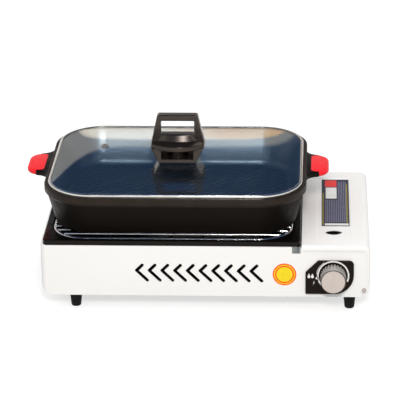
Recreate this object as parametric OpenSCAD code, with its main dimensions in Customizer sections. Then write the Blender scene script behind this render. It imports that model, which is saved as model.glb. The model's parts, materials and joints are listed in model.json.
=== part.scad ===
// Portable gas grill: a cartridge stove with a drip tray, a wire grate, a cast pan and a glass lid.
// Millimetres, +Z up, the front faces -Y. The origin is the middle of the object's box, on the
// surface that the feet stand on. Places below are measured from the casing's left side and front.

/* [Casing] */
// Width of the casing with its cartridge cover
body_w = 416; // [408:1:440]
// Depth of the casing, front to back
body_d = 260; // [254:1:290]
// Height of the casing walls
wall_h = 68; // [68:1:80]
// Thickness of the sheet steel of casing, cover and inner plates
sheet = 1; // [0.8:0.1:1.2]
// Radius of the casing's upright corners
corner_r = 7; // [4:0.5:12]
// Radius of the bend between the left wall and the floor
belly_r = 15; // [8:1:22]

/* [Feet] */
// Height of the feet
foot_h = 20; // [14:1:26]
// Radius of a foot at its top
foot_r = 7.5; // [6:0.5:10]
// Radius of a foot at the ground
foot_tip_r = 6.2; // [4:0.1:7]
// Left feet, from the left side
foot_left = 42; // [24:1:60]
// Right feet, from the right side
foot_right = 25; // [22:1:60]
// Feet, in from the front and the back
foot_in = 14; // [12:1:30]
// Radius of the foot screws
screw_r = 2; // [1.5:0.25:2.5]

/* [Front vents] */
// Number of angled vent slots
vent_count = 10; // [4:1:12]
// Spacing of the slots
vent_pitch = 16.1; // [12:0.1:17]
// Width of a slot
vent_slot = 3.2; // [2:0.1:4]
// Length of a slot's upper arm
vent_up = 10.3; // [6:0.1:14]
// Length of a slot's lower arm
vent_down = 19; // [10:0.5:24]
// First slot's corner, from the left side
vent_x = 121.5; // [90:0.5:130]
// Slot corners above the casing's underside
vent_z = 34.5; // [28:0.5:42]

/* [Cartridge cover] */
// Width of the cover
cover_w = 86; // [84:1:92]
// Rise of the cover's top above the casing walls
cover_rise = 2; // [2:0.5:6]
// Radius of the cover's long upper edge
cover_r = 10; // [6:0.5:14]
// Radius of the cover's other edges
cover_edge_r = 3; // [2.5:0.25:4]
// Depth of the cover's turned-down lips
cover_lip = 6.5; // [6:0.5:10]
// Hinge axis, in from the right side
hinge_in = 7; // [6.5:0.25:8]
// Hinge axis above the casing's underside
hinge_up = 9.5; // [9:0.5:12]
// Radius of the hinge pins
pin_r = 2; // [1.5:0.1:2.5]
// Width of the pressed panel in the cover's top
recess_w = 44; // [36:1:50]
// Pressed panel, in from the cover's left edge
recess_side = 18.5; // [14:0.5:24]
// Pressed panel, in from the cover's ends
recess_in = 24; // [16:1:40]
// Depth of the pressed panel
recess_drop = 0.8; // [0.5:0.1:1.2]
// Length of the finger slot
finger_w = 22; // [16:1:30]
// Width of the finger slot
finger_d = 15; // [8:1:16]
// Finger slot's middle, from the front
finger_y = 46; // [40:1:60]

/* [Knob and control panel] */
// Knob axis, in from the right side
knob_in = 46; // [44:0.5:50]
// Knob axis above the casing's underside
knob_up = 30.5; // [28:0.5:34]
// Radius of the knob
knob_r = 16; // [12:0.5:20]
// Length of the knob without its face
knob_len = 19.4; // [14:0.1:24]
// Number of flutes round the knob
flute_count = 24; // [12:1:30]
// Thickness of the metal face of the knob
cap_t = 2; // [1.5:0.1:3]
// Thickness of the control panel
panel_t = 3; // [2:0.5:4]
// Radius of the control panel round the knob
panel_r = 26; // [23:0.5:28]
// Control panel's left edge, from the knob axis
panel_left = 35; // [30:0.5:38]
// Control panel's top edge, from the knob axis
panel_top = 20; // [18:0.5:24]

/* [Gas parts] */
// Radius of the gas cartridge that the bay takes
cartridge_r = 33; // [30:0.5:33]
// Radius of the regulator's barrel
regulator_r = 19; // [16:0.5:19.5]
// Back of the regulator, from the front
regulator_y = 58; // [50:1:64]
// Radius of the cartridge socket
socket_r = 5; // [4:0.5:7]
// Depth of the cartridge socket
socket_l = 12; // [8:1:16]
// Radius of the valve spindle
spindle_r = 3; // [2.5:0.1:4]
// Outer radius of the magnet ring
magnet_r = 20; // [16:0.5:21]
// Thickness of the magnet ring
magnet_t = 2.5; // [2:0.5:4]
// Mixing tube, from the front
mix_y = 30; // [26:1:36]
// Radius of the mixing tube
mix_r = 8; // [6:0.5:9]

/* [Burner] */
// Radius of the burner bars
bar_r = 9; // [7:0.5:10]
// Spacing of the two burner bars
bar_gap = 88; // [70:1:100]
// Burner bars' closed end, from the left side
bar_x = 50; // [36:1:90]
// Radius of the manifold between the bars
manifold_r = 11; // [10.5:0.5:12]
// Wall of the burner's tubes
tube_wall = 1; // [0.8:0.1:1.2]
// Number of flame slots in each bar
flame_count = 14; // [6:1:18]
// Height of the heat shield above the casing's floor
shield_h = 7; // [5:0.5:10]

/* [Drip tray] */
// Strip of casing that shows left of the tray
tray_gap = 3; // [1:0.5:5]
// Height of the tray's lip above the casing
tray_lip = 6.5; // [4:0.5:8]
// Width of the tray's rim
tray_rim = 7.5; // [6:0.5:10]
// Radius of the tray's outer corners
tray_corner = 6; // [3:0.5:10]
// Radius of the tray's inner corners
well_r = 45; // [40:1:50]
// Depth of the tray below its rim
tray_depth = 28.5; // [26:0.5:32]
// Thickness of the tray's sheet
tray_sheet = 1; // [0.8:0.1:1.2]
// Width of the ledge that carries the grate
ledge_w = 10; // [8:0.5:12]
// Width of the flame openings in the tray's floor
opening_w = 24; // [20:1:30]

/* [Wire grate] */
// Wire diameter of the grate's frame
frame_wire = 4; // [3.5:0.1:5]
// Wire diameter of the grate's bars
bar_wire = 3; // [2.5:0.1:3.4]
// Spacing of the bars
bar_pitch = 12.8; // [10:0.1:15]
// Gap between the tray's wall and the frame
grate_gap = 1.7; // [1.5:0.1:5]
// Top of the bars above the tray's rim
grate_rise = 2.4; // [0:0.1:4]

/* [Pan] */
// Width of the pan over its rim
pan_w = 335; // [320:1:340]
// Depth of the pan over its rim
pan_d = 267; // [250:1:272]
// Height of the pan
pan_h = 53; // [46:1:60]
// Corner radius of the pan's rim
pan_r = 64; // [58:1:70]
// Inward taper of the pan's walls
pan_taper = 10; // [8:0.5:16]
// Thickness of the pan's walls
pan_wall = 3.5; // [3:0.25:4.5]
// Thickness of the pan's floor
pan_floor = 4; // [3:0.5:6]
// Height of the rim band
rim_h = 11; // [9:0.5:14]
// Overhang of the rim band
rim_out = 3; // [2:0.25:4]
// Spacing of the slanting ribs on the pan's floor
rib_pitch = 7; // [6:0.5:20]
// Width of a rib
rib_w = 3; // [2:0.5:6]
// Pan's middle, right of the tray's middle
pan_dx = 2.5; // [-4:0.5:4]
// Pan's middle, behind the tray's middle
pan_dy = 6; // [-4:0.5:8]

/* [Grips] */
// Reach of a grip from the rim
grip_l = 28.5; // [25:0.5:32]
// Width of a grip
grip_w = 62; // [54:1:70]
// Thickness of a grip
grip_t = 8; // [7:0.25:10]
// Radius of a grip's outer corners
grip_r = 18; // [12:0.5:20]
// Wall of a grip
grip_wall = 2; // [1.6:0.1:2.4]
// Bare lug between rim and grip
lug_bare = 4; // [3:0.5:6]
// Radius of the flare between rim and lug
lug_flare = 16; // [10:0.5:20]

/* [Lid] */
// Lid's edge, in from the rim's outside
lid_in = 5; // [4.5:0.25:7]
// Depth of the seat that the lid rests in
lid_seat = 1.5; // [1:0.25:3]
// Thickness of the glass
glass_t = 3; // [2.5:0.25:3.5]
// Rise of the glass above its edge
dome_h = 2.5; // [2:0.5:6]
// Radius of the steam vent
steam_r = 3; // [2:0.25:4]
// Steam vent, in from the left end of the glass's flat part
steam_left = 3.5; // [3:0.5:40]
// Steam vent, in from the back of the glass's flat part
steam_back = 25; // [10:1:60]

/* [Lid handle] */
// Height of the handle
handle_h = 61; // [56:1:70]
// Width of the handle where it is widest
handle_w = 71; // [64:1:76]
// Width of the handle's top bar
handle_top_w = 54; // [48:1:58]
// Width of the handle's foot
handle_foot_w = 49; // [40:1:54]
// Thickness of the handle, front to back
handle_t = 13; // [11:0.5:16]
// Depth of the guard disc
disc_d = 46; // [40:1:50]
// Height of the handle's widest place above its foot
disc_z = 19; // [17:0.5:24]
// Thickness of the guard disc at its edge
disc_t = 6.5; // [4:0.5:8]
// Depth of the handle's foot, front to back
foot_d = 36; // [28:1:40]
// Height of the finger window in the handle
window_h = 16; // [12:0.5:20]
// Radius of the handle's screw
stud_r = 2.5; // [2:0.25:3]

/* [Hidden] */
$fn = 48;
// Clearances: parts that lift or swing, parts fitted together, turning shafts
lift_gap = 0.3;
fit_gap = 0.1;
run_gap = 0.06;
eps = 0.01;
panel_gap = 0.6;
cap_sink = 1;
cap_in = 1.2;
weld_sink = 0.6;
lid_rim_sheet = 0.8;
washer_t = 1;
stud_l = 13;

// Heights, from the ground
floor_z = foot_h + sheet;
wall_top = foot_h + wall_h;
cover_top = wall_top + cover_rise;
tray_top = wall_top + tray_lip;
tray_floor = tray_top - tray_depth;
ledge_z = tray_top + grate_rise - bar_wire - frame_wire + weld_sink - lift_gap;
frame_z = ledge_z + lift_gap + frame_wire / 2;
bar_z = frame_z + frame_wire / 2 + bar_wire / 2 - weld_sink;
pan_z = bar_z + bar_wire / 2 + lift_gap;
lid_z = pan_z + pan_h - lid_seat + lift_gap;
glass_z = lid_z + lid_rim_sheet + fit_gap;
handle_z = glass_z + glass_t + dome_h + washer_t;

// Places across the casing, from its left side
bay_x = body_w - cover_w;
bay_gap = 1;
part_x = bay_x - bay_gap - sheet;
sill_in = 10;
sill_x = body_w - sill_in;
sill_h = 28;
ear_gap = 1.5;
ear_x = body_w - sheet - ear_gap;
hinge_x = body_w - hinge_in;
ear_top = cover_top - cover_edge_r - sheet;
ear_in = sheet + lift_gap + fit_gap;
ear_room = 5;
hinge_z = foot_h + hinge_up;
knob_x = body_w - knob_in;
knob_z = foot_h + knob_up;
notch_w = 11;
notch_h = 9;
notch_x = part_x + sheet - notch_w;

// The tray and what stands in it
tray_x0 = tray_gap;
tray_x1 = part_x;
tray_w = tray_x1 - tray_x0;
tray_d = body_d - 2 * lift_gap;
tray_cx = (tray_x0 + tray_x1) / 2;
tray_cy = body_d / 2;
well_hx = tray_w / 2 - tray_rim - well_r;
well_hy = tray_d / 2 - tray_rim - well_r;
well_gap = 1.5;
flange_w = tray_gap + tray_rim - tray_sheet - well_gap;
flange_d = lift_gap + tray_rim - tray_sheet - well_gap;
part_flange = tray_rim - tray_sheet - well_gap;
tray_slope = 10;
grate_r = well_r - grate_gap - frame_wire / 2;

// The pan, its grips and its lid
pan_cx = tray_cx + pan_dx;
pan_cy = tray_cy + pan_dy;
pan_hx = pan_w / 2 - pan_r;
pan_hy = pan_d / 2 - pan_r;
lid_r = pan_r - lid_in;
lug_t = grip_t - 2 * grip_wall;
arm_t = grip_t - 1;
lug_arm = 1.5;
grip_taper = 4;
lug_z = pan_z + pan_h - grip_t / 2 - 0.5;
grip_reach = pan_w / 2 + grip_l;
rib_count = 2 * floor((pan_w + pan_d) / 3.2 / rib_pitch) + 1;
glass_r = lid_r - lid_rim_sheet - fit_gap;
lid_flange = 3.5;
steam_place = [steam_left - pan_hx, pan_hy - steam_back, 0];

// Gas parts
cartridge_x = (part_x + sheet + sill_x - sheet) / 2;
cartridge_z = floor_z + 0.5 + cartridge_r;
burner_gap = 2;
burner_z = tray_floor - tray_sheet - burner_gap - manifold_r;
manifold_x = part_x - 36;
stub_r = mix_r + fit_gap + tube_wall;
stub_l = 22;
nozzle_x = bay_x + 16;
shield_z = floor_z + shield_h;
shield_edge = 20;
stand_in = 20;
stand_foot = 10;
electrode_x = manifold_x - 30;
electrode_y = tray_cy - bar_gap / 2 - bar_r - 7;
electrode_r = 3;
piezo_size = [12, 36, 12];
piezo_y = 16;
piezo_z = floor_z + 6;
lead_r = 1.2;
lead_run = 28;
lead_bend = 8;
lead_y = piezo_y + 30;
lead_z = piezo_z + piezo_size.z / 2;

// The origin is the middle of the whole object's box
knob_face = panel_t + panel_gap + knob_len + cap_t - cap_sink;
cover_out = sheet + lift_gap + fit_gap;
left_end = min(0, pan_cx - grip_reach);
back_end = max(body_d + cover_out, pan_cy + pan_d / 2);
origin_x = -(left_end + body_w) / 2;
origin_y = -(back_end - knob_face) / 2;

// Points along an arc about c
function arc(c, r, from, to, n = 6) =
  [for (i = [0:n]) c + r * [cos(from + (to - from) * i / n), sin(from + (to - from) * i / n)]];

// Height of the lid's dome at a distance out from its corner centres
function dome(x) = dome_h * (1 - pow(x / glass_r, 2));

// Half length of a grate bar at a distance from the grate's middle
function bar_reach(y) =
  well_hx + sqrt(pow(grate_r, 2) - pow(max(0, abs(y) - well_hy), 2));

// Everything is drawn from the casing's left front corner
module placed() {
  translate([origin_x, origin_y, 0]) children();
}

// A rod from front to back
module rod_y(x, z, from, to, r) {
  translate([x, to, z]) rotate([90, 0, 0]) cylinder(h = to - from, r = r);
}

// A rod from left to right
module rod_x(y, z, from, to, r) {
  translate([from, y, z]) rotate([0, 90, 0]) cylinder(h = to - from, r = r);
}

// An outline drawn in X and Z, given its thickness in Y
module upright(from, to) {
  translate([0, to, 0]) rotate([90, 0, 0]) linear_extrude(to - from) children();
}

// A section carried round a rectangle with round corners, hx and hy apart at the corner centres
module swept_frame(hx, hy) {
  for (turn = [0:1]) rotate(180 * turn) {
    translate([hx, hy, 0]) rotate_extrude(angle = 90) children();
    translate([-hx, hy, 0]) rotate(90) rotate_extrude(angle = 90) children();
    translate([hx, hy, 0]) rotate([90, 0, 0]) linear_extrude(2 * hy) children();
    rotate(90) translate([hy, hx, 0]) rotate([90, 0, 0]) linear_extrude(2 * hx) children();
  }
}

// A flat rectangle with round corners, about its middle
module round_rect(w, d, r) {
  square([w, d - 2 * r], center = true);
  square([w - 2 * r, d], center = true);
  for (sx = [-1, 1], sy = [-1, 1]) translate([sx * (w / 2 - r), sy * (d / 2 - r)]) circle(r);
}

// A slot with round ends, running from the origin along X
module slot(l, w) {
  translate([0, -w / 2]) square([l, w]);
  circle(d = w);
  translate([l, 0]) circle(d = w);
}

// Casing: a tub with a rounded left side, open at the top
module tub_plan(inset) {
  translate([corner_r, inset]) square([sill_x - inset - corner_r, body_d - 2 * inset]);
  translate([inset, corner_r]) square([corner_r, body_d - 2 * corner_r]);
  for (y = [corner_r, body_d - corner_r]) translate([corner_r, y]) circle(corner_r - inset);
}

module tub_front(inset) {
  translate([belly_r, foot_h + inset]) square([sill_x - inset - belly_r, wall_h]);
  translate([inset, foot_h + belly_r]) square([belly_r, wall_h]);
  translate([belly_r, foot_h + belly_r]) circle(belly_r - inset);
}

module tub(inset) {
  intersection() {
    translate([0, 0, foot_h]) linear_extrude(wall_h + inset) tub_plan(inset);
    upright(0, body_d) tub_front(inset);
  }
}

// The front and back panels run on past the tub to carry the cover's hinge
module ear_outline() {
  ear_r = ear_x - hinge_x;
  top_r = cover_r - sheet;
  polygon(concat(
    [[sill_x - corner_r, foot_h], [sill_x, foot_h], [sill_x, hinge_z - ear_r]],
    arc([hinge_x, hinge_z], ear_r, -90, 0),
    arc([ear_x - top_r, ear_top - top_r], top_r, 0, 90),
    [[sill_x - corner_r, ear_top]]
  ));
}

module vent() {
  rotate(45) slot(vent_up, vent_slot);
  rotate(-45) slot(vent_down, vent_slot);
}

module casing() {
  color("ivory") placed() difference() {
    union() {
      difference() {
        union() {
          tub(0);
          upright(0, sheet) ear_outline();
          upright(body_d - sheet, body_d) ear_outline();
        }
        tub(sheet);
        translate([sill_x - sheet - eps, sheet, foot_h + sill_h])
          cube([sheet + 2 * eps, body_d - 2 * sheet, wall_h]);
        // Room for the cover's hinge ears at both ends of the sill
        for (y = [sheet, body_d - sheet - ear_room])
          translate([sill_x - sheet - eps, y, floor_z]) cube([sheet + 2 * eps, ear_room, wall_h]);
      }
      // Flange along the top, under the tray's rim
      translate([0, 0, wall_top - sheet]) linear_extrude(sheet) difference() {
        intersection() {
          tub_plan(sheet / 2);
          square([notch_x - bay_gap, body_d]);
        }
        translate([flange_w, flange_d]) square([body_w, body_d - 2 * flange_d]);
      }
    }
    // Lower walls under the cover
    translate([part_x + sheet, -eps, ear_top]) cube([body_w, body_d + 2 * eps, wall_h]);
    // Angled vents in the front
    upright(-eps, sheet + eps) for (i = [0:vent_count - 1])
      translate([vent_x + i * vent_pitch, foot_h + vent_z]) vent();
    // Upright vents in the back
    upright(body_d - sheet - eps, body_d + eps) for (i = [0:vent_count - 1])
      translate([vent_x + i * vent_pitch, foot_h + vent_z - vent_down / 2]) rotate(90)
        slot(vent_down, vent_slot);
    // Notch in front of the bracket, hole for the spindle, pin holes and foot screw holes
    translate([notch_x, -eps, wall_top - notch_h]) cube([notch_w, sheet + 2 * eps, notch_h + eps]);
    rod_y(knob_x, knob_z, -eps, sheet + eps, spindle_r + 2);
    rod_y(hinge_x, hinge_z, -eps, body_d + eps, pin_r + run_gap);
    foot_places() translate([0, 0, foot_h - eps]) cylinder(h = sheet + 2 * eps, r = screw_r + fit_gap);
  }
}

module foot_places() {
  for (x = [foot_left, body_w - foot_right], y = [foot_in, body_d - foot_in])
    translate([x, y, 0]) children();
}

module feet() {
  color("black") placed() foot_places() difference() {
    cylinder(h = foot_h, r1 = foot_tip_r, r2 = foot_r);
    translate([0, 0, foot_h / 2]) cylinder(h = foot_h, r = screw_r + fit_gap);
  }
}

module foot_screws() {
  color("silver") placed() foot_places() {
    translate([0, 0, foot_h / 2 + 1]) cylinder(h = floor_z - foot_h / 2 - 1 + eps, r = screw_r);
    translate([0, 0, floor_z]) cylinder(h = 2.4, r1 = 2 * screw_r, r2 = 1.5 * screw_r);
  }
}

// Plated wall between the burner box and the cartridge bay
module partition() {
  foot_w = 10;
  color("lightsteelblue") placed() difference() {
    union() {
      translate([part_x, 2 * sheet, floor_z]) cube([sheet, body_d - 4 * sheet, wall_top - floor_z]);
      translate([part_x - part_flange, flange_w, wall_top - sheet])
        cube([part_flange + sheet, body_d - 2 * flange_w, sheet]);
      translate([part_x - foot_w, flange_w, floor_z]) cube([foot_w + sheet, body_d - 2 * flange_w, sheet]);
    }
    rod_x(mix_y, burner_z, part_x - 1, part_x + sheet + 1, mix_r + fit_gap);
    rod_x(lead_y, lead_z, part_x - 1, part_x + sheet + 1, lead_r + fit_gap);
  }
}

// Small ribbed bracket that shows in the notch
module partition_bracket() {
  rib_r = 0.8;
  below = 3;
  color("lightsteelblue") placed() {
    translate([notch_x + lift_gap, sheet, wall_top - notch_h - below])
      cube([part_x - notch_x - lift_gap, sheet, notch_h + below]);
    for (i = [1:2]) translate([notch_x + i * notch_w / 3, sheet, wall_top - notch_h + lift_gap])
      cylinder(h = notch_h - 2 * lift_gap, r = rib_r);
  }
}

// Black panel behind the knob
module panel_outline() {
  low = -panel_r + 0.5;
  chamfer = 16;
  top_r = 6;
  polygon(concat(
    [[-panel_left, low]],
    [[0, low]],
    arc([0, 0], panel_r, -78, 0, 10),
    arc([panel_r - top_r, panel_top - top_r], top_r, 0, 90),
    [[-panel_left + chamfer, panel_top]],
    [[-panel_left, panel_top - chamfer]]
  ));
}

module control_panel() {
  color("black") placed() difference() {
    upright(-panel_t, 0) translate([knob_x, knob_z]) panel_outline();
    rod_y(knob_x, knob_z, -panel_t - eps, eps, spindle_r + 2);
  }
}

// Rivets through the front and back walls and the cover's ears
module hinge_pins() {
  head_t = 1.4;
  head_r = 1.5 * pin_r;
  end = ear_in + sheet + lift_gap;
  color("silver") placed() translate([hinge_x, body_d / 2, hinge_z]) for (turn = [0, 180])
    rotate(turn) translate([0, -body_d / 2, 0]) {
      rod_y(0, 0, -head_t, 0, head_r);
      rod_y(0, 0, -eps, end + eps, pin_r);
      rod_y(0, 0, end, end + sheet, head_r);
    }
}

// Valve and regulator behind the knob, with the cartridge socket at its back
module regulator() {
  boss_l = 12;
  rear_t = 6;
  color("dimgray") placed() difference() {
    union() {
      rod_y(knob_x, knob_z, sheet, boss_l, spindle_r + 6);
      rod_y(knob_x, knob_z, boss_l, regulator_y - rear_t, regulator_r);
      rod_y(cartridge_x, cartridge_z, regulator_y - rear_t, regulator_y, magnet_r + 2);
      rod_x(mix_y, burner_z, nozzle_x, knob_x, mix_r);
    }
    rod_y(knob_x, knob_z, sheet - eps, mix_y, spindle_r + run_gap);
    rod_y(cartridge_x, cartridge_z, regulator_y - socket_l, regulator_y + eps, socket_r);
  }
}

module magnet_ring() {
  color("gray") placed() difference() {
    rod_y(cartridge_x, cartridge_z, regulator_y, regulator_y + magnet_t, magnet_r);
    rod_y(cartridge_x, cartridge_z, regulator_y - eps, regulator_y + magnet_t + eps, socket_r + 6);
  }
}

module gas_nozzle() {
  hex_l = 5;
  hex_r = 6;
  tip_l = 6;
  tip_r = 3;
  color("goldenrod") placed() {
    translate([nozzle_x - hex_l, mix_y, burner_z]) rotate([0, 90, 0])
      cylinder(h = hex_l, r = hex_r, $fn = 6);
    rod_x(mix_y, burner_z, nozzle_x - hex_l - tip_l, nozzle_x - hex_l, tip_r);
  }
}

// Plate that lines the cartridge's neck up with the socket
module cartridge_guide() {
  neck_r = 26;
  guide_w = 50;
  foot_l = 8;
  guide_y = regulator_y + magnet_t + foot_l / 2;
  color("lightsteelblue") placed() difference() {
    union() {
      translate([cartridge_x - guide_w / 2, guide_y, floor_z])
        cube([guide_w, sheet, cartridge_z - floor_z - neck_r / 2]);
      translate([cartridge_x - guide_w / 2, guide_y - foot_l, floor_z])
        cube([guide_w, foot_l + eps, sheet]);
    }
    rod_y(cartridge_x, cartridge_z, guide_y - 1, guide_y + sheet + 1, neck_r);
  }
}

module piezo_igniter() {
  button_l = 8;
  button_r = 4;
  color("white") placed() {
    translate([part_x + sheet, piezo_y, piezo_z]) cube(piezo_size);
    rod_y(part_x + sheet + piezo_size.x / 2, lead_z, piezo_y - button_l, piezo_y, button_r);
  }
}

// The lead runs level from the igniter through the partition and sways once to the electrode
module igniter_lead() {
  start_x = part_x - lead_run;
  end_x = start_x - 2 * lead_bend;
  color("firebrick") placed() translate([0, 0, lead_z]) {
    rod_x(lead_y, 0, start_x, part_x + sheet, lead_r);
    translate([start_x, lead_y + lead_bend, 0]) rotate(180)
      rotate_extrude(angle = 90) translate([lead_bend, 0]) circle(lead_r);
    rod_y(start_x - lead_bend, 0, lead_y + lead_bend, electrode_y - lead_bend, lead_r);
    translate([end_x, electrode_y - lead_bend, 0])
      rotate_extrude(angle = 90) translate([lead_bend, 0]) circle(lead_r);
    rod_x(electrode_y, 0, electrode_x + electrode_r, end_x, lead_r);
  }
}

module electrode() {
  tip_r = 0.8;
  color("white") placed() translate([electrode_x, electrode_y, 0]) {
    translate([0, 0, shield_z]) cylinder(h = burner_z - shield_z, r = electrode_r);
    translate([0, 0, burner_z - eps]) cylinder(h = bar_r, r = tip_r);
  }
}

// Flared tube that draws in air round the gas jet
module mixing_tube() {
  mouth = 12;
  flare_l = 12;
  tube_l = nozzle_x - 4 - manifold_x;
  color("silver") placed() translate([nozzle_x - 4, mix_y, burner_z]) rotate([0, -90, 0])
    rotate_extrude() polygon([
      [mouth - tube_wall, 0],
      [mouth, 0],
      [mix_r, flare_l],
      [mix_r, tube_l - manifold_r],
      [mix_r - tube_wall, tube_l - manifold_r],
      [mix_r - tube_wall, flare_l]
    ]);
}

// Two burner bars on a manifold, welded into one hollow piece
module burner_tubes(inset, end) {
  front = mix_y - stub_r;
  back = tray_cy + bar_gap / 2 + manifold_r;
  for (s = [-1, 1]) rod_x(tray_cy + s * bar_gap / 2, burner_z, bar_x + end, manifold_x, bar_r - inset);
  rod_y(manifold_x, burner_z, front + end, back - end, manifold_r - inset);
}

module burner() {
  flame_w = 2;
  flame_in = 10;
  flame_l = manifold_x - manifold_r - bar_x - 2 * flame_in - 2 * flame_w;
  color("silver") placed() difference() {
    union() {
      burner_tubes(0, 0);
      rod_x(mix_y, burner_z, manifold_x, manifold_x + stub_l, stub_r);
    }
    burner_tubes(tube_wall, 2 * tube_wall);
    rod_x(mix_y, burner_z, manifold_x, manifold_x + stub_l + 1, mix_r + fit_gap);
    for (s = [-1, 1], i = [0:flame_count - 1])
      translate([bar_x + flame_in + i * flame_l / (flame_count - 1), tray_cy, burner_z])
        translate([0, s * bar_gap / 2 - bar_r / 2, 0]) cube([flame_w, bar_r, bar_r + 1]);
  }
}

module burner_stand() {
  stand_x = bar_x + stand_in;
  stand_w = bar_gap + 4 * bar_r;
  color("lightsteelblue") placed() difference() {
    translate([stand_x, tray_cy - stand_w / 2, shield_z]) {
      cube([sheet, stand_w, burner_z - shield_z - 2 * sheet]);
      cube([stand_foot, stand_w, sheet]);
    }
    for (s = [-1, 1])
      rod_x(tray_cy + s * bar_gap / 2, burner_z, stand_x - 1, stand_x + sheet + 1, bar_r + fit_gap);
  }
}

module heat_shield() {
  shield_w = part_x - 2 * shield_edge;
  shield_d = body_d - 2 * shield_edge;
  color("silver") placed() translate([shield_edge, shield_edge, floor_z]) difference() {
    cube([shield_w, shield_d, shield_h]);
    translate([sheet, -eps, -eps]) cube([shield_w - 2 * sheet, shield_d + 2 * eps, shield_h - sheet + eps]);
  }
}

module valve_spindle() {
  color("silver") placed() rod_y(knob_x, knob_z, -knob_face + cap_t + 2, mix_y - 1, spindle_r);
}

// Fluted knob with a rim round its metal face
module knob_body() {
  back = -panel_t - panel_gap;
  front = back - knob_len;
  flute_r = knob_r * sin(180 / flute_count) * 0.62;
  color("dimgray") placed() difference() {
    rod_y(knob_x, knob_z, front, back, knob_r);
    rod_y(knob_x, knob_z, front - eps, front + cap_sink, knob_r - cap_in + fit_gap);
    rod_y(knob_x, knob_z, -knob_face + cap_t + 2, back + eps, spindle_r + eps);
    for (i = [0:flute_count - 1])
      rod_y(
        knob_x + knob_r * cos(360 * i / flute_count), knob_z + knob_r * sin(360 * i / flute_count),
        front + 3, back + 1, flute_r
      );
  }
}

module knob_cap() {
  mark_w = 1.6;
  color("silver") placed() difference() {
    rod_y(knob_x, knob_z, -knob_face, -knob_face + cap_t, knob_r - cap_in);
    translate([knob_x - mark_w / 2, -knob_face - eps, knob_z + knob_r / 3])
      cube([mark_w, cap_t / 4, knob_r / 3]);
  }
}

// Cartridge cover: a shell with a top, a right side and narrow lips
module cover_block(inset) {
  r = cover_r - inset;
  edge = cover_edge_r - inset;
  length = body_d + 2 * (cover_out - inset);
  intersection() {
    upright(-cover_out, body_d + cover_out) polygon(concat(
      [[bay_x + inset, hinge_z], [body_w - inset, hinge_z]],
      arc([body_w - cover_r, cover_top - cover_r], r, 0, 90, 8),
      [[bay_x + inset, cover_top - inset]]
    ));
    translate([0, body_d / 2, 0]) rotate([90, 0, 90]) linear_extrude(body_w) polygon(concat(
      [[length / 2, 0]],
      arc([length / 2 - edge, cover_top - inset - edge], edge, 0, 90),
      arc([-length / 2 + edge, cover_top - inset - edge], edge, 90, 180),
      [[-length / 2, 0]]
    ));
    translate([0, body_d / 2, 0]) linear_extrude(cover_top) polygon(concat(
      [[bay_x, -length / 2]],
      arc([body_w - inset - edge, -length / 2 + edge], edge, -90, 0),
      arc([body_w - inset - edge, length / 2 - edge], edge, 0, 90),
      [[bay_x, length / 2]]
    ));
  }
}

// What is cut away below the lips
module cover_window() {
  r = cover_r - cover_edge_r;
  polygon(concat(
    [[bay_x - 1, 0], [body_w - cover_edge_r, 0]],
    arc([body_w - cover_edge_r - r, cover_top - cover_lip - r], r, 0, 90),
    [[bay_x - 1, cover_top - cover_lip]]
  ));
}

module hinge_ear() {
  ear_h = 38;
  ear_w = 4;
  wall_x = body_w - sheet / 2;
  translate([hinge_x, hinge_z]) circle(wall_x - hinge_x);
  polygon([
    [hinge_x, hinge_z],
    [wall_x, hinge_z],
    [wall_x, hinge_z + ear_h],
    [wall_x - ear_w, hinge_z + ear_h - ear_w]
  ]);
}

module finger_outline() {
  r = (pow(finger_w / 2, 2) + pow(finger_d / 2, 2)) / finger_d;
  intersection_for(s = [-1, 1]) translate([0, s * (r - finger_d / 2)]) circle(r);
}

module cover_shell() {
  recess_x = bay_x + recess_side + recess_w / 2;
  recess_l = body_d - 2 * recess_in;
  color("ivory") placed() difference() {
    union() {
      difference() {
        cover_block(0);
        cover_block(sheet);
        upright(-body_d, 2 * body_d) cover_window();
        translate([hinge_x - hinge_in, -body_d, 0]) cube([2 * hinge_in, 3 * body_d, hinge_z + hinge_in]);
        // Notches in the left lip, over the front and back walls
        for (y = [sheet - cover_out, body_d - sheet - lift_gap])
          translate([bay_x - eps, y, 0]) cube([cover_lip, cover_out + lift_gap, ear_top + lift_gap]);
      }
      for (y = [ear_in, body_d - ear_in - sheet]) upright(y, y + sheet) hinge_ear();
      translate([recess_x, tray_cy, cover_top - sheet - recess_drop])
        linear_extrude(sheet) square([recess_w + 2 * sheet, recess_l + 2 * sheet], center = true);
    }
    translate([recess_x, tray_cy, cover_top - recess_drop])
      linear_extrude(sheet) square([recess_w, recess_l], center = true);
    translate([recess_x, finger_y, cover_top - 4 * sheet]) linear_extrude(8 * sheet) finger_outline();
    rod_y(hinge_x, hinge_z, 0, body_d, pin_r + run_gap);
  }
}

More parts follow.
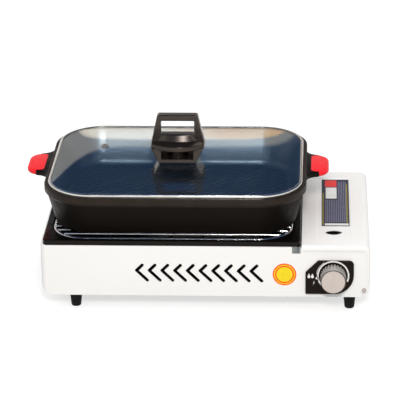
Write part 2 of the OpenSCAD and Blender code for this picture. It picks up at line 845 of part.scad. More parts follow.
// Drip tray: a flat rim with a skirt, a ledge for the grate and a sloping well
module drip_tray() {
  opening_l = manifold_x - manifold_r - bar_x - 12;
  opening_x = bar_x + 6 + opening_l / 2;
  collar_h = 5;
  s = tray_sheet;
  wall_x = well_r - ledge_w;
  hole_d = 2 * well_r + s;
  color("black") placed() difference() {
    union() {
      translate([tray_cx, tray_cy, 0]) {
        // Rim and skirt
        translate([0, 0, wall_top + lift_gap]) difference() {
          linear_extrude(tray_lip - lift_gap) round_rect(tray_w, tray_d, tray_corner);
          translate([0, 0, -s]) linear_extrude(tray_lip - lift_gap)
            round_rect(tray_w - 2 * s, tray_d - 2 * s, tray_corner - s);
          linear_extrude(tray_lip) round_rect(2 * well_hx + hole_d, 2 * well_hy + hole_d, hole_d / 2);
        }
        // Wall, ledge, slope and floor
        swept_frame(well_hx, well_hy) polygon([
          [well_r, tray_top],
          [well_r + s, tray_top],
          [well_r + s, ledge_z - s],
          [wall_x + s, ledge_z - s],
          [wall_x - tray_slope + s, tray_floor - s],
          [0, tray_floor - s],
          [0, tray_floor],
          [wall_x - tray_slope, tray_floor],
          [wall_x, ledge_z],
          [well_r, ledge_z]
        ]);
        translate([-well_hx, -well_hy, tray_floor - s]) cube([2 * well_hx, 2 * well_hy, s]);
      }
      // Collars round the flame openings
      for (k = [-1, 1]) translate([opening_x, tray_cy + k * bar_gap / 2, tray_floor - s])
        linear_extrude(collar_h) square([opening_l + 2 * s, opening_w + 2 * s], center = true);
    }
    for (k = [-1, 1]) translate([opening_x, tray_cy + k * bar_gap / 2, tray_floor - 2 * s])
      linear_extrude(collar_h + 2 * s) square([opening_l, opening_w], center = true);
  }
}

// Wire grate: a bent frame, cross rods under the bars and a row of bars
module wire_grate() {
  hx = well_hx;
  hy = well_hy;
  rod_r = bar_wire * 0.6;
  bars = 2 * floor((hy + grate_r) / bar_pitch);
  rod_end = (bars - 1) / 2 * bar_pitch + bar_wire / 2;
  color("silver") placed() translate([tray_cx, tray_cy, 0]) {
    translate([0, 0, frame_z]) swept_frame(hx, hy) translate([grate_r, 0]) circle(d = frame_wire);
    for (k = [-1:1])
      rod_y(k * hx * 0.7, frame_z, -rod_end, rod_end, rod_r);
    for (i = [0:bars - 1]) {
      y = (i - (bars - 1) / 2) * bar_pitch;
      rod_x(y, bar_z, -bar_reach(y), bar_reach(y), bar_wire / 2);
    }
  }
}

// Cast pan: tapered walls, a rim band with a seat for the lid, ribs and two lugs
module pan_section() {
  out = pan_r - rim_out;
  foot = out - pan_taper;
  bend = 6;
  under = pan_h - rim_h;
  polygon(concat(
    [[0, 0]],
    arc([foot - bend, bend], bend, -90, -18),
    [[out, under], [pan_r, under + rim_out * 0.6], [pan_r, pan_h - 1], [pan_r - 1, pan_h]],
    [[pan_r - lid_in + lift_gap, pan_h], [pan_r - lid_in + lift_gap, pan_h - lid_seat]],
    [[out - pan_wall, pan_h - lid_seat], [foot - pan_wall + 1, pan_floor + 5]],
    [[foot - pan_wall - 4, pan_floor], [0, pan_floor]]
  ));
}

// The part of a lug that a grip sits on
module tongue_outline(grow) {
  half = grip_w / 2 - grip_taper - grip_wall + grow;
  reach = grip_l - grip_wall + grow;
  r = grip_r - grip_wall;
  polygon(concat(
    [[-pan_wall, -half]],
    arc([reach - r, -half + r], r, -90, 0),
    arc([reach - r, half - r], r, 0, 90),
    [[-pan_wall, half]]
  ));
}

// A lug flares out from the grip to the rim
module lug_outline() {
  half = grip_w / 2 + lug_arm;
  flare = arc([lug_flare, -half - lug_flare], lug_flare, 180, 90, 8);
  polygon(concat(
    [[-pan_wall, -half - lug_flare]],
    flare,
    [for (i = [len(flare) - 1:-1:0]) [flare[i].x, -flare[i].y]],
    [[-pan_wall, half + lug_flare]]
  ));
}

// Outline of a grip, narrower where it starts between the lug's arms
module grip_outline(gap) {
  half = grip_w / 2 + gap;
  neck = half - grip_taper;
  r = grip_r + gap;
  polygon(concat(
    [[lug_bare - gap, -neck]],
    arc([grip_l - grip_r, -grip_w / 2 + grip_r], r, -90, 0),
    arc([grip_l - grip_r, grip_w / 2 - grip_r], r, 0, 90),
    [[lug_bare - gap, neck]]
  ));
}

module lug() {
  translate([0, 0, -lug_t / 2]) linear_extrude(lug_t) tongue_outline(-fit_gap);
  translate([0, 0, -arm_t / 2]) linear_extrude(arm_t) difference() {
    lug_outline();
    grip_outline(fit_gap);
  }
}

module pan() {
  rib_rise = 1.2;
  rib_in = 6;
  floor_r = pan_r - rim_out - pan_taper - pan_wall - rib_in;
  rib_l = 2 * norm([pan_hx + floor_r, pan_hy + floor_r]);
  color("black") placed() translate([pan_cx, pan_cy, pan_z]) {
    swept_frame(pan_hx, pan_hy) pan_section();
    translate([-pan_hx, -pan_hy, 0]) cube([2 * pan_hx, 2 * pan_hy, pan_floor]);
    translate([0, 0, pan_floor - eps]) linear_extrude(rib_rise) intersection() {
      round_rect(2 * (pan_hx + floor_r), 2 * (pan_hy + floor_r), floor_r);
      rotate(-45) for (i = [0:rib_count - 1])
        translate([(i - (rib_count - 1) / 2) * rib_pitch, 0]) square([rib_w, rib_l], center = true);
    }
    for (turn = [0, 180]) rotate(turn) translate([pan_w / 2, 0, lug_z - pan_z]) lug();
  }
}

// Silicone sleeve over a lug
module grip() {
  translate([pan_w / 2, 0, lug_z]) difference() {
    translate([0, 0, -grip_t / 2]) linear_extrude(grip_t) grip_outline(0);
    translate([0, 0, -lug_t / 2 - fit_gap]) linear_extrude(lug_t + 2 * fit_gap) tongue_outline(0);
  }
}

module grip_left() {
  color("red") placed() translate([pan_cx, pan_cy, 0]) rotate(180) grip();
}

module grip_right() {
  color("red") placed() translate([pan_cx, pan_cy, 0]) grip();
}

// Glass: a shallow dome with holes for the handle's screw and the steam vent
module lid_glass() {
  steps = 8;
  color("lightblue", 0.4) placed() translate([pan_cx, pan_cy, glass_z]) difference() {
    union() {
      swept_frame(pan_hx, pan_hy) polygon(concat(
        [for (i = [0:steps]) [glass_r * i / steps, dome(glass_r * i / steps)]],
        [for (i = [steps:-1:0]) [glass_r * i / steps, glass_t + dome(glass_r * i / steps)]]
      ));
      translate([-pan_hx, -pan_hy, dome_h]) cube([2 * pan_hx, 2 * pan_hy, glass_t]);
    }
    translate([0, 0, -1]) cylinder(h = dome_h + glass_t + 2, r = stud_r + 0.5);
    translate(steam_place) cylinder(h = dome_h + glass_t + 2, r = steam_r + fit_gap);
  }
}

// Stainless channel round the edge of the glass
module lid_rim() {
  t = lid_rim_sheet;
  in_r = lid_r - lid_flange;
  over = glass_z - lid_z + glass_t + fit_gap;
  color("silver") placed() translate([pan_cx, pan_cy, lid_z]) swept_frame(pan_hx, pan_hy) polygon([
    [in_r, 0],
    [lid_r, 0],
    [lid_r, over + t],
    [in_r, over + dome(in_r) + t],
    [in_r, over + dome(in_r)],
    [lid_r - t, over + dome(glass_r)],
    [lid_r - t, t],
    [in_r, t]
  ]);
}

// Handle: an arch with a finger window, a dished guard disc and a tapered foot
module handle_front() {
  bar = 8;
  round_r = 3;
  leg = 5.5;
  top_half = handle_top_w / 2;
  wide = handle_w / 2;
  foot_half = handle_foot_w / 2;
  difference() {
    polygon(concat(
      [[-foot_half, 0], [foot_half, 0], [wide, disc_z], [wide, disc_z + 2]],
      arc([top_half - round_r, handle_h - round_r], round_r, 10, 90, 4),
      arc([-top_half + round_r, handle_h - round_r], round_r, 90, 170, 4),
      [[-wide, disc_z + 2], [-wide, disc_z]]
    ));
    translate([-top_half + leg, handle_h - bar - window_h]) square([handle_top_w - 2 * leg, window_h]);
  }
}

// Side view of the guard disc, which rises in a hollow curve to the handle's web
module guard_side() {
  half = disc_d / 2;
  edge_in = 2;
  run = half - edge_in - handle_t / 2;
  rise = 5.5;
  top = disc_z + disc_t;
  hollow = [for (i = [0:5]) [half - edge_in - run * i / 5, top + rise * pow(i / 5, 2)]];
  polygon(concat(
    [[-half, disc_z], [half, disc_z], [half, top]],
    hollow,
    [for (i = [5:-1:0]) [-hollow[i].x, hollow[i].y]],
    [[-half, top]]
  ));
}

module lid_handle() {
  frame = 4;
  base_t = 5;
  foot_half = handle_foot_w / 2;
  pocket = (foot_d - handle_t) / 2;
  lens_r = (pow(handle_w / 2, 2) + pow(disc_d / 2, 2)) / disc_d;
  color("black") placed() translate([pan_cx, pan_cy, handle_z]) difference() {
    union() {
      upright(-handle_t / 2, handle_t / 2) handle_front();
      intersection() {
        linear_extrude(handle_h)
          intersection_for(s = [-1, 1]) translate([0, s * (lens_r - disc_d / 2)]) circle(lens_r);
        translate([-handle_w / 2, 0, 0]) rotate([90, 0, 90]) linear_extrude(handle_w) guard_side();
      }
      // Foot, open at the front and the back
      difference() {
        upright(-foot_d / 2, foot_d / 2) polygon([
          [-foot_half, 0],
          [foot_half, 0],
          [handle_w / 2 - frame, disc_z + eps],
          [-handle_w / 2 + frame, disc_z + eps]
        ]);
        for (s = [-1, 1]) translate([-foot_half + frame, s * (foot_d - pocket) / 2, base_t])
          translate([0, -pocket / 2 - eps, 0])
            cube([handle_foot_w - 2 * frame, pocket + 2 * eps, disc_z - base_t]);
      }
    }
    translate([0, 0, -eps]) cylinder(h = stud_l + 2, r = stud_r + run_gap);
  }
}

module handle_screw() {
  head_h = 3;
  color("silver") placed() translate([pan_cx, pan_cy, glass_z + dome_h]) {
    translate([0, 0, -head_h]) cylinder(h = head_h, r = 2.4 * stud_r);
    translate([0, 0, -eps]) cylinder(h = glass_t + washer_t + stud_l, r = stud_r);
  }
}

module handle_washer() {
  color("dimgray") placed() translate([pan_cx, pan_cy, handle_z - washer_t]) difference() {
    cylinder(h = washer_t, r = 13);
    translate([0, 0, -1]) cylinder(h = washer_t + 2, r = stud_r + fit_gap);
  }
}

module vent_eyelet() {
  flange = 2.4;
  thick = 0.8;
  h = glass_t + 2 * fit_gap;
  color("silver") placed() translate([pan_cx, pan_cy, glass_z + dome_h - fit_gap] + steam_place)
    rotate_extrude() polygon([
      [steam_r - thick, -thick],
      [steam_r + flange, -thick],
      [steam_r + flange, 0],
      [steam_r, 0],
      [steam_r, h],
      [steam_r + flange, h],
      [steam_r + flange, h + thick],
      [steam_r - thick, h + thick]
    ]);
}

casing();
partition();
partition_bracket();
feet();
foot_screws();
control_panel();
hinge_pins();
regulator();
magnet_ring();
gas_nozzle();
cartridge_guide();
piezo_igniter();
igniter_lead();
electrode();
mixing_tube();
burner();
burner_stand();
heat_shield();
valve_spindle();
knob_body();
knob_cap();
cover_shell();
drip_tray();
wire_grate();
pan();
grip_left();
grip_right();
lid_glass();
lid_rim();
lid_handle();
handle_screw();
handle_washer();
vent_eyelet();
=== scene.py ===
import json
import math

import bmesh
import bpy
from mathutils import Matrix, Vector

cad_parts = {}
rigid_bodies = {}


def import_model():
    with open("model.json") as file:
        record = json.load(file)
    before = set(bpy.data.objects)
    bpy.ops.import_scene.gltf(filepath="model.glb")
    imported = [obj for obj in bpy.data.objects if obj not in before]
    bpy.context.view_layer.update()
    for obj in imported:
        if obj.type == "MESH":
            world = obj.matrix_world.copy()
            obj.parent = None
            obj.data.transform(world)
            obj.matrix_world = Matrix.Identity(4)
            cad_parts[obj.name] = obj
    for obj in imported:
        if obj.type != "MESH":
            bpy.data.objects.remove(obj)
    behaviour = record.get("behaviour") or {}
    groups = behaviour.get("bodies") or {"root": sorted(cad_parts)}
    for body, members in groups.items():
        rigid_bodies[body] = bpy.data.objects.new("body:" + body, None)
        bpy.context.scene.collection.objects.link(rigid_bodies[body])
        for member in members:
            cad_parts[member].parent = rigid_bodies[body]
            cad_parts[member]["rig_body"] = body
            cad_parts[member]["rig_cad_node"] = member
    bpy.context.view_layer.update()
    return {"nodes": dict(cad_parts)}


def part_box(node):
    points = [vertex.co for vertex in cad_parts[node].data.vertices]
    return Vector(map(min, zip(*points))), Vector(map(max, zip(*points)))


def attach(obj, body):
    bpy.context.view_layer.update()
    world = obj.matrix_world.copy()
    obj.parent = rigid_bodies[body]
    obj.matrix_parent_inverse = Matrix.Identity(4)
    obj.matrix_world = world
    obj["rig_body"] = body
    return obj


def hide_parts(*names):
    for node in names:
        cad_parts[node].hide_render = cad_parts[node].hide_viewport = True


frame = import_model()
nodes = frame["nodes"]

# Sizes of the pieces that are modelled here, in metres, and angles in degrees

# Pan with its ribs, lugs and grips; a section starts at its pole, out from the middle of a corner
PAN_W, PAN_D, PAN_H = 0.335, 0.267, 0.053
PAN_CORNER, PAN_TAPER, PAN_WALL, PAN_FLOOR = 0.064, 0.010, 0.0035, 0.004
PAN_BEND, PAN_LEAN, PAN_SOLE, PAN_POLE = 0.006, 18, 0.004, 0.01
PAN_EDGE, PAN_SWELL = 0.0004, 0.002
FILLET_R, FILLET_START, FILLET_STOP = 0.018, -16, -40
HEEL_R, HEEL_START = 0.004, -50
RIM_OUT, RIM_H, RIM_START, RIM_END = 0.003, 0.011, 0.001, 0.003
RIM_ROUND, RIM_FOOT = 0.0014, 0.0012
SEAT_PLAY, SEAT_ROUND = 0.0003, 0.0008
RIB_PITCH, RIB_W, RIB_RISE, RIB_IN, RIB_SINK = 0.007, 0.003, 0.0012, 0.011, 0.0003
GRIP_L, GRIP_W, GRIP_R, GRIP_TAPER = 0.0285, 0.062, 0.018, 0.004
LUG_BARE, LUG_FLARE, LUG_ARM, LUG_T = 0.004, 0.016, 0.0015, 0.007

# Lid
LID_IN, LID_SEAT, LID_SHEET, LID_FLANGE = 0.005, 0.0015, 0.0008, 0.0035
LID_GAP, LID_PLAY, LID_CROWN = 0.0001, 0.0003, 0.0002
LID_ROUND, LID_FOLD, LID_EDGE = 0.0018, 0.0006, 0.0004
GLASS_T, DOME_H = 0.003, 0.0025
STUD_HOLE, STEAM_HOLE = 0.003, 0.0031

# Lid handle: the arch, the guard under it and the foot
HANDLE_H, HANDLE_TOP, HANDLE_WIDE, HANDLE_T = 0.060, 0.054, 0.070, 0.013
HANDLE_BAR, HANDLE_LEG, HANDLE_CORNER, HANDLE_LEAN = 0.008, 0.0055, 0.0035, 12
WINDOW_H = 0.018
GUARD_D, GUARD_SIDE, GUARD_Z, GUARD_T, GUARD_LIP = 0.056, 0.026, 0.017, 0.0065, 0.0012
# Steps of the guard's top: share of its width, share of its depth, height above the lip
GUARD_STEPS = ((0.97, 0.94, 0), (0.92, 0.87, -0.0006), (0.84, 0.4, 0.0012), (0.78, 0.27, 0.0096))
FOOT_W, FOOT_D, FOOT_BAR, FOOT_SLAB = 0.049, 0.046, 0.005, 0.001
FOOT_INSET_X, FOOT_INSET_Y, FOOT_LAP = 0.001, 0.0035, 0.001
POCKET_W, POCKET_LAP, FOOT_WEB = 0.042, 0.0005, 0.006
BOSS_R, BOSS_Z = 0.013, 0.002

# Feet of the stove
FEET_TOP, FEET_SOLE, FEET_FLAT, FEET_ROUND = 0.0075, 0.0063, 0.0022, 0.002
FEET_POLE, FEET_DISH, FEET_TAPER = 0.001, 0.0003, 0.7
FEET_EDGE_IN, FEET_EDGE_DOWN = 0.0006, 0.0004

# Vent slots in the front: the first one's place across, and above the casing's lowest point
VENT_COUNT, VENT_PITCH, VENT_SPOT = 10, 0.0161, (-0.0725, 0.0345)
VENT_UP, VENT_DOWN, VENT_W = 0.0103, 0.019, 0.0042

# Prints: a disc on the front, a field on the cover and, from the knob's middle, the marks on the panel
PRINT_T = 0.00015
DISC_RINGS, DISC_STEP, DISC_POINTS = (0.015, 0.0131, 0.0121, 0.0101), 0.3, 60
DISC_SPOT = (0.1146, 0.0505)
FIELD_X, FIELD_Y, FIELD_Z, BAND_TOP = (0.161, 0.197), (-0.05575, 0.10925), 0.0892, 1.6
STRIPE_PITCH, STRIPE_W = 0.065, 0.03
SCALE_RING, SCALE_SWEEP = (0.0184, 0.0203), (-24, 222)
LINE_RING, LINE_SWEEP, LINE_STEPS = (0.0209, 0.0214), (122, 174), 16
DROP_R, DROP_POINT = 0.0019, 2.4
LARGE_DROP, SMALL_DROP = (-0.0306, -0.0016), (-0.0262, -0.0016)
ARROW = [(-0.0178, -0.0070), (-0.0226, -0.0040), (-0.0196, 0.0002)]
SPARK = [
    (-0.0238, -0.0062), (-0.0252, -0.0108), (-0.0243, -0.0100),
    (-0.0258, -0.0140), (-0.0232, -0.0090), (-0.0241, -0.0096),
]

# Width of the rounding on edges
SHEET_EDGE, COVER_EDGE, ENAMEL_EDGE = 0.0003, 0.00045, 0.0004
PANEL_EDGE, KNOB_EDGE, KNOB_FACE_EDGE = 0.0006, 0.0004, 0.0005
RIB_EDGE, GRIP_EDGE, LUG_EDGE = 0.0006, 0.0032, 0.0016
HANDLE_EDGE, GUARD_EDGE, FOOT_EDGE = 0.0026, 0.0014, 0.0012

# Steps of a round corner; what counts as one point, one height, one flat face, a soft edge, a sharp one
CORNER_STEPS = 24
SAME_POINT, SAME_CAD_POINT, SAME_HEIGHT = 1e-7, 2e-6, 0.0001
FLAT_ANGLE, SOFT_ANGLE, SHARP_ANGLE, KNOB_SHARP_ANGLE = 0.5, 32, 38, 30

# A face's normal: up, for the top of a block, and to the front, for the end of the knob
TOP_NORMAL, FRONT_NORMAL = 0.9, -0.6

# Camera, at the photograph's viewing angle
CAMERA_SPOT = (0.15572, -2.72112, 1.18572)
CAMERA_YAW = math.radians(2.726)
CAMERA_PITCH = math.radians(22.0)
CAMERA_ROLL = math.radians(-0.628)
CAMERA_LENS, CAMERA_SENSOR, CAMERA_REACH = 194.28, 36, 50
CAMERA_SHIFT = (-0.0251, 0.0099)

pan_low, pan_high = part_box("pan")
PAN_MIDDLE = (pan_low + pan_high) / 2
PAN_HX = PAN_W / 2 - PAN_CORNER
PAN_HY = PAN_D / 2 - PAN_CORNER


# Modelling helpers

def take(piece):
    """Selects one object alone and makes it the active one."""
    bpy.ops.object.select_all(action="DESELECT")
    piece.select_set(True)
    bpy.context.view_layer.objects.active = piece
    return piece


def named(name):
    """Names the object that was just made."""
    piece = bpy.context.active_object
    piece.name = name
    piece.data.name = name
    return piece


def pick(kind, test):
    """In edit mode, selects only the elements that pass the test."""
    bpy.ops.mesh.select_mode(type=kind)
    bpy.ops.mesh.select_all(action="DESELECT")
    mesh = bpy.context.edit_object.data
    shape = bmesh.from_edit_mesh(mesh)
    for element in {"VERT": shape.verts, "EDGE": shape.edges, "FACE": shape.faces}[kind]:
        if test(element):
            element.select_set(True)
    shape.select_flush_mode()
    bmesh.update_edit_mesh(mesh)


def arc(middle, radius, start, stop, steps):
    """Points of an arc in a section or an outline."""
    angles = [math.radians(start + (stop - start) * i / steps) for i in range(steps + 1)]
    return [(middle[0] + radius * math.cos(a), middle[1] + radius * math.sin(a)) for a in angles]


def raised(name, section, hx=0.0, hy=0.0, closed=False, steps=CORNER_STEPS):
    """Raises a ring along a section, then pulls its quarters apart into a rectangle with round corners."""
    bpy.ops.object.select_all(action="DESELECT")
    count = 4 * steps
    radius, height = section[0]
    bpy.ops.mesh.primitive_circle_add(
        vertices=count, radius=radius, location=(0, 0, height), rotation=(0, 0, math.pi / count)
    )
    piece = named(name)
    bpy.ops.object.transform_apply(location=True, rotation=True, scale=True)
    bpy.ops.object.mode_set(mode="EDIT")
    bpy.ops.mesh.select_mode(type="VERT")
    bpy.ops.mesh.select_all(action="SELECT")
    points = section + section[:1] if closed else section
    for (r0, z0), (r1, z1) in zip(points, points[1:]):
        bpy.ops.mesh.extrude_edges_move(TRANSFORM_OT_translate={"value": (0, 0, z1 - z0)})
        bpy.ops.transform.resize(value=(r1 / r0, r1 / r0, 1), center_override=(0, 0, z1))
    bpy.ops.mesh.select_all(action="SELECT")
    bpy.ops.mesh.remove_doubles(threshold=SAME_POINT)
    if not closed:
        bpy.ops.mesh.fill_holes(sides=0)
    bpy.ops.mesh.select_all(action="SELECT")
    bpy.ops.mesh.normals_make_consistent(inside=False)
    if hx or hy:
        for sx in (-1, 1):
            for sy in (-1, 1):
                pick("VERT", lambda v: v.co.x * sx > 0 and v.co.y * sy > 0)
                bpy.ops.transform.translate(value=(sx * hx, sy * hy, 0))
    bpy.ops.object.mode_set(mode="OBJECT")
    return piece


def softened(node, name, width, segments=2, angle=SHARP_ANGLE):
    """A copy of a CAD piece with its sharp edges rounded."""
    take(nodes[node])
    bpy.ops.object.duplicate()
    piece = named(name)
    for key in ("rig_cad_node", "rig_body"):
        if key in piece:
            del piece[key]
    piece.parent = None
    bpy.ops.object.mode_set(mode="EDIT")
    bpy.ops.mesh.select_all(action="SELECT")
    bpy.ops.mesh.remove_doubles(threshold=SAME_CAD_POINT)
    bpy.ops.mesh.dissolve_limited(angle_limit=math.radians(FLAT_ANGLE))
    bpy.ops.object.mode_set(mode="OBJECT")
    return rounded(piece, width, segments, angle)


def rounded(piece, width, segments, angle):
    """Rounds the edges that are sharper than an angle."""
    take(piece)
    bpy.ops.object.modifier_add(type="BEVEL")
    bevel = piece.modifiers[-1]
    bevel.width = width
    bevel.segments = segments
    bevel.limit_method = "ANGLE"
    bevel.angle_limit = math.radians(angle)
    bevel.use_clamp_overlap = True
    bpy.ops.object.modifier_apply(modifier=bevel.name)
    return piece


def joined_by(piece, tool, operation):
    """A boolean with a second piece, which is used up."""
    take(piece)
    bpy.ops.object.modifier_add(type="BOOLEAN")
    boolean = piece.modifiers[-1]
    boolean.object = tool
    boolean.operation = operation
    boolean.solver = "EXACT"
    bpy.ops.object.modifier_apply(modifier=boolean.name)
    bpy.data.objects.remove(tool)
    return piece


def oblong(x0, x1, y0, y1):
    """Outline of a rectangle."""
    return [(x0, y0), (x1, y0), (x1, y1), (x0, y1)]


def slab(name, outline, low, high):
    """An outline drawn point by point, filled and raised from one height to another."""
    bpy.ops.object.select_all(action="DESELECT")
    bpy.ops.mesh.primitive_plane_add()
    piece = named(name)
    bpy.ops.object.mode_set(mode="EDIT")
    bpy.ops.mesh.select_mode(type="VERT")
    bpy.ops.mesh.select_all(action="SELECT")
    bpy.ops.mesh.merge(type="CENTER")
    bpy.ops.transform.translate(value=(*outline[0], low))
    for (x0, y0), (x1, y1) in zip(outline, outline[1:] + outline[:1]):
        bpy.ops.mesh.extrude_vertices_move(TRANSFORM_OT_translate={"value": (x1 - x0, y1 - y0, 0)})
    bpy.ops.mesh.select_all(action="SELECT")
    bpy.ops.mesh.remove_doubles(threshold=SAME_POINT)
    bpy.ops.mesh.edge_face_add()
    bpy.ops.mesh.extrude_region_move(TRANSFORM_OT_translate={"value": (0, 0, high - low)})
    bpy.ops.mesh.select_all(action="SELECT")
    bpy.ops.mesh.normals_make_consistent(inside=False)
    bpy.ops.object.mode_set(mode="OBJECT")
    return piece


def put(piece, body, slot, material, *stands_for, smooth=SOFT_ANGLE, fair=False):
    """Gives a piece its finish and the body that it moves with; the slot is not used; fair keeps large
    faces flat.
    """
    take(piece)
    bpy.ops.object.transform_apply(location=True, rotation=True, scale=True)
    bpy.ops.object.shade_smooth_by_angle(angle=math.radians(smooth))
    if fair:
        bpy.ops.object.modifier_add(type="WEIGHTED_NORMAL")
        piece.modifiers[-1].keep_sharp = True
        bpy.ops.object.modifier_apply(modifier=piece.modifiers[-1].name)
    piece.data.materials.clear()
    piece.data.materials.append(material)
    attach(piece, body)
    if stands_for:
        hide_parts(*stands_for)
    return piece


# Finishes

# Tints of the gloss, painted reflections: warm surroundings on black parts, blue sky on the cooking coat
WARM_REFLECTION_TINT, SKY_REFLECTION_TINT = (1, 0.86, 0.78, 1), (0.56, 0.78, 1, 1)


def finish(name, color, roughness, metallic=0.0, **sockets):
    """A shader with its constant values on its own sockets."""
    material = bpy.data.materials.new(name)
    material.use_nodes = True
    shader = material.node_tree.nodes["Principled BSDF"]
    shader.inputs["Base Color"].default_value = (*color, 1)
    shader.inputs["Roughness"].default_value = roughness
    shader.inputs["Metallic"].default_value = metallic
    for socket, value in sockets.items():
        shader.inputs[socket.replace("_", " ")].default_value = value
    return material


def black_finish(name, color, roughness, gloss):
    """A black whose gloss is tinted warm, a painted reflection of warm surroundings."""
    return finish(name, color, roughness, Specular_IOR_Level=gloss, Specular_Tint=WARM_REFLECTION_TINT)


def add(material, kind, **values):
    """Adds a node to a material or a world."""
    node = material.node_tree.nodes.new(kind)
    for key, value in values.items():
        setattr(node, key, value)
    return node


def link(material, out, into):
    """Links an output to an input."""
    material.node_tree.links.new(out, into)


def feed(material, value, into):
    """Links an output to an input, or sets a constant colour or number there."""
    if isinstance(value, bpy.types.NodeSocket):
        link(material, value, into)
    elif isinstance(value, tuple):
        into.default_value = (*value, 1)
    else:
        into.default_value = value


def shader_of(material):
    """The shader of a finish."""
    return material.node_tree.nodes["Principled BSDF"]


def place_in(material):
    """A point's place in the frame."""
    return add(material, "ShaderNodeTexCoord").outputs["Object"]


def noise(material, scale, detail, rough=0.5):
    """Soft noise in space."""
    texture = add(material, "ShaderNodeTexNoise")
    texture.inputs["Scale"].default_value = scale
    texture.inputs["Detail"].default_value = detail
    texture.inputs["Roughness"].default_value = rough
    link(material, place_in(material), texture.inputs["Vector"])
    return texture.outputs["Fac"]


def ramp(material, fac, stops):
    """Colours for the values from 0 to 1, as (value, colour)."""
    node = add(material, "ShaderNodeValToRGB")
    elements = node.color_ramp.elements
    while len(elements) < len(stops):
        elements.new(0.5)
    for element, (position, color) in zip(elements, stops):
        element.position = position
        element.color = (*color, 1)
    link(material, fac, node.inputs["Fac"])
    return node.outputs["Color"]


def grey(value):
    """A colour without a hue."""
    return (value, value, value)


def mottle(material, scale, low, high, detail=4):
    """Base colour that wanders between two tones."""
    colors = ramp(material, noise(material, scale, detail), [(0.3, low), (0.7, high)])
    link(material, colors, shader_of(material).inputs["Base Color"])


def wander(material, scale, low, high):
    """Roughness that wanders between two values."""
    values = ramp(material, noise(material, scale, 3), [(0.3, grey(low)), (0.7, grey(high))])
    link(material, values, shader_of(material).inputs["Roughness"])


def relief(material, height, strength, distance):
    """Fine relief from a height."""
    bump = add(material, "ShaderNodeBump")
    bump.inputs["Strength"].default_value = strength
    bump.inputs["Distance"].default_value = distance
    link(material, height, bump.inputs["Height"])
    link(material, bump.outputs["Normal"], shader_of(material).inputs["Normal"])


def powder_coat():
    material = finish("powder_coat", (0.885, 0.875, 0.86), 0.3, Specular_IOR_Level=0.4)
    mottle(material, 14, (0.878, 0.868, 0.852), (0.892, 0.882, 0.868))
    wander(material, 25, 0.34, 0.36)
    relief(material, noise(material, 1400, 2), 0.025, 0.0003)
    return material


def enamel():
    material = black_finish("black_enamel", (0.0024, 0.0019, 0.0018), 0.16, 0.17)
    mottle(material, 40, (0.0018, 0.0014, 0.0013), (0.003, 0.0024, 0.0022))
    wander(material, 120, 0.12, 0.22)
    relief(material, noise(material, 900, 2), 0.04, 0.0003)
    return material


def chrome_wire():
    material = finish("chrome_wire", (0.72, 0.73, 0.75), 0.14, 1.0)
    mottle(material, 200, (0.62, 0.63, 0.65), (0.78, 0.79, 0.8))
    wander(material, 300, 0.08, 0.22)
    return material


def pan_coat():
    material = black_finish("non_stick_coat", (0.0056, 0.0043, 0.0035), 0.48, 0.1)
    tones = [(0.0, (0.0034, 0.0024, 0.0018)), (0.66, (0.0044, 0.0032, 0.0024))]
    tones += [(0.76, (0.021, 0.017, 0.014))]
    specks = ramp(material, noise(material, 1500, 2, rough=0.7), tones)
    link(material, specks, shader_of(material).inputs["Base Color"])
    wander(material, 90, 0.42, 0.56)
    relief(material, noise(material, 1100, 3), 0.18, 0.0004)
    return material


def rim_sheen_coat():
    """The coat on the rim band, painted paler: a painted sheen for the light that the band catches."""
    material = black_finish("rim_painted_sheen", (0.018, 0.0128, 0.0096), 0.45, 0.16)
    mottle(material, 50, (0.014, 0.0098, 0.0074), (0.022, 0.0158, 0.0118), detail=6)
    wander(material, 90, 0.4, 0.52)
    relief(material, noise(material, 1100, 3), 0.15, 0.0004)
    return material


def cooking_coat():
    # Bluish base and cool gloss tint: a painted reflection of the blue sky in the coat
    material = finish(
        "cooking_coat", (0.007, 0.0076, 0.0095), 0.36, Specular_IOR_Level=1.0, Specular_Tint=SKY_REFLECTION_TINT,
        Coat_Weight=0.6, Coat_Roughness=0.2
    )
    mottle(material, 60, (0.006, 0.0065, 0.0082), (0.008, 0.0086, 0.0108))
    wander(material, 90, 0.34, 0.38)
    relief(material, noise(material, 1100, 3), 0.05, 0.0003)
    return material


def silicone():
    material = finish("red_silicone", (0.89, 0.013, 0.022), 0.45, Specular_IOR_Level=0.25)
    mottle(material, 60, (0.87, 0.011, 0.019), (0.91, 0.015, 0.025))
    wander(material, 150, 0.36, 0.5)
    relief(material, noise(material, 1600, 2), 0.08, 0.0003)
    return material


def clear_glass():
    """Clear glass that lets the lamps through to what it covers."""
    material = finish("clear_glass", (0.93, 0.96, 0.97), 0.0, Transmission_Weight=1.0, IOR=1.5)
    wander(material, 18, 0.0, 0.012)
    path = add(material, "ShaderNodeLightPath")
    clear = add(material, "ShaderNodeBsdfTransparent")
    clear.inputs["Color"].default_value = (0.88, 0.9, 0.91, 1)
    either = add(material, "ShaderNodeMixShader")
    link(material, path.outputs["Is Shadow Ray"], either.inputs["Fac"])
    link(material, shader_of(material).outputs["BSDF"], either.inputs[1])
    link(material, clear.outputs["BSDF"], either.inputs[2])
    link(material, either.outputs["Shader"], material.node_tree.nodes["Material Output"].inputs["Surface"])
    return material


def stainless():
    material = finish("stainless", (0.66, 0.65, 0.63), 0.22, 1.0)
    mottle(material, 30, (0.62, 0.61, 0.59), (0.70, 0.69, 0.67))
    wander(material, 60, 0.18, 0.27)
    return material


def phenolic():
    material = black_finish("black_phenolic", (0.012, 0.0098, 0.0084), 0.18, 0.6)
    mottle(material, 70, (0.0108, 0.0088, 0.0076), (0.0132, 0.0108, 0.0092))
    wander(material, 40, 0.16, 0.2)
    relief(material, noise(material, 1300, 2), 0.015, 0.0003)
    return material


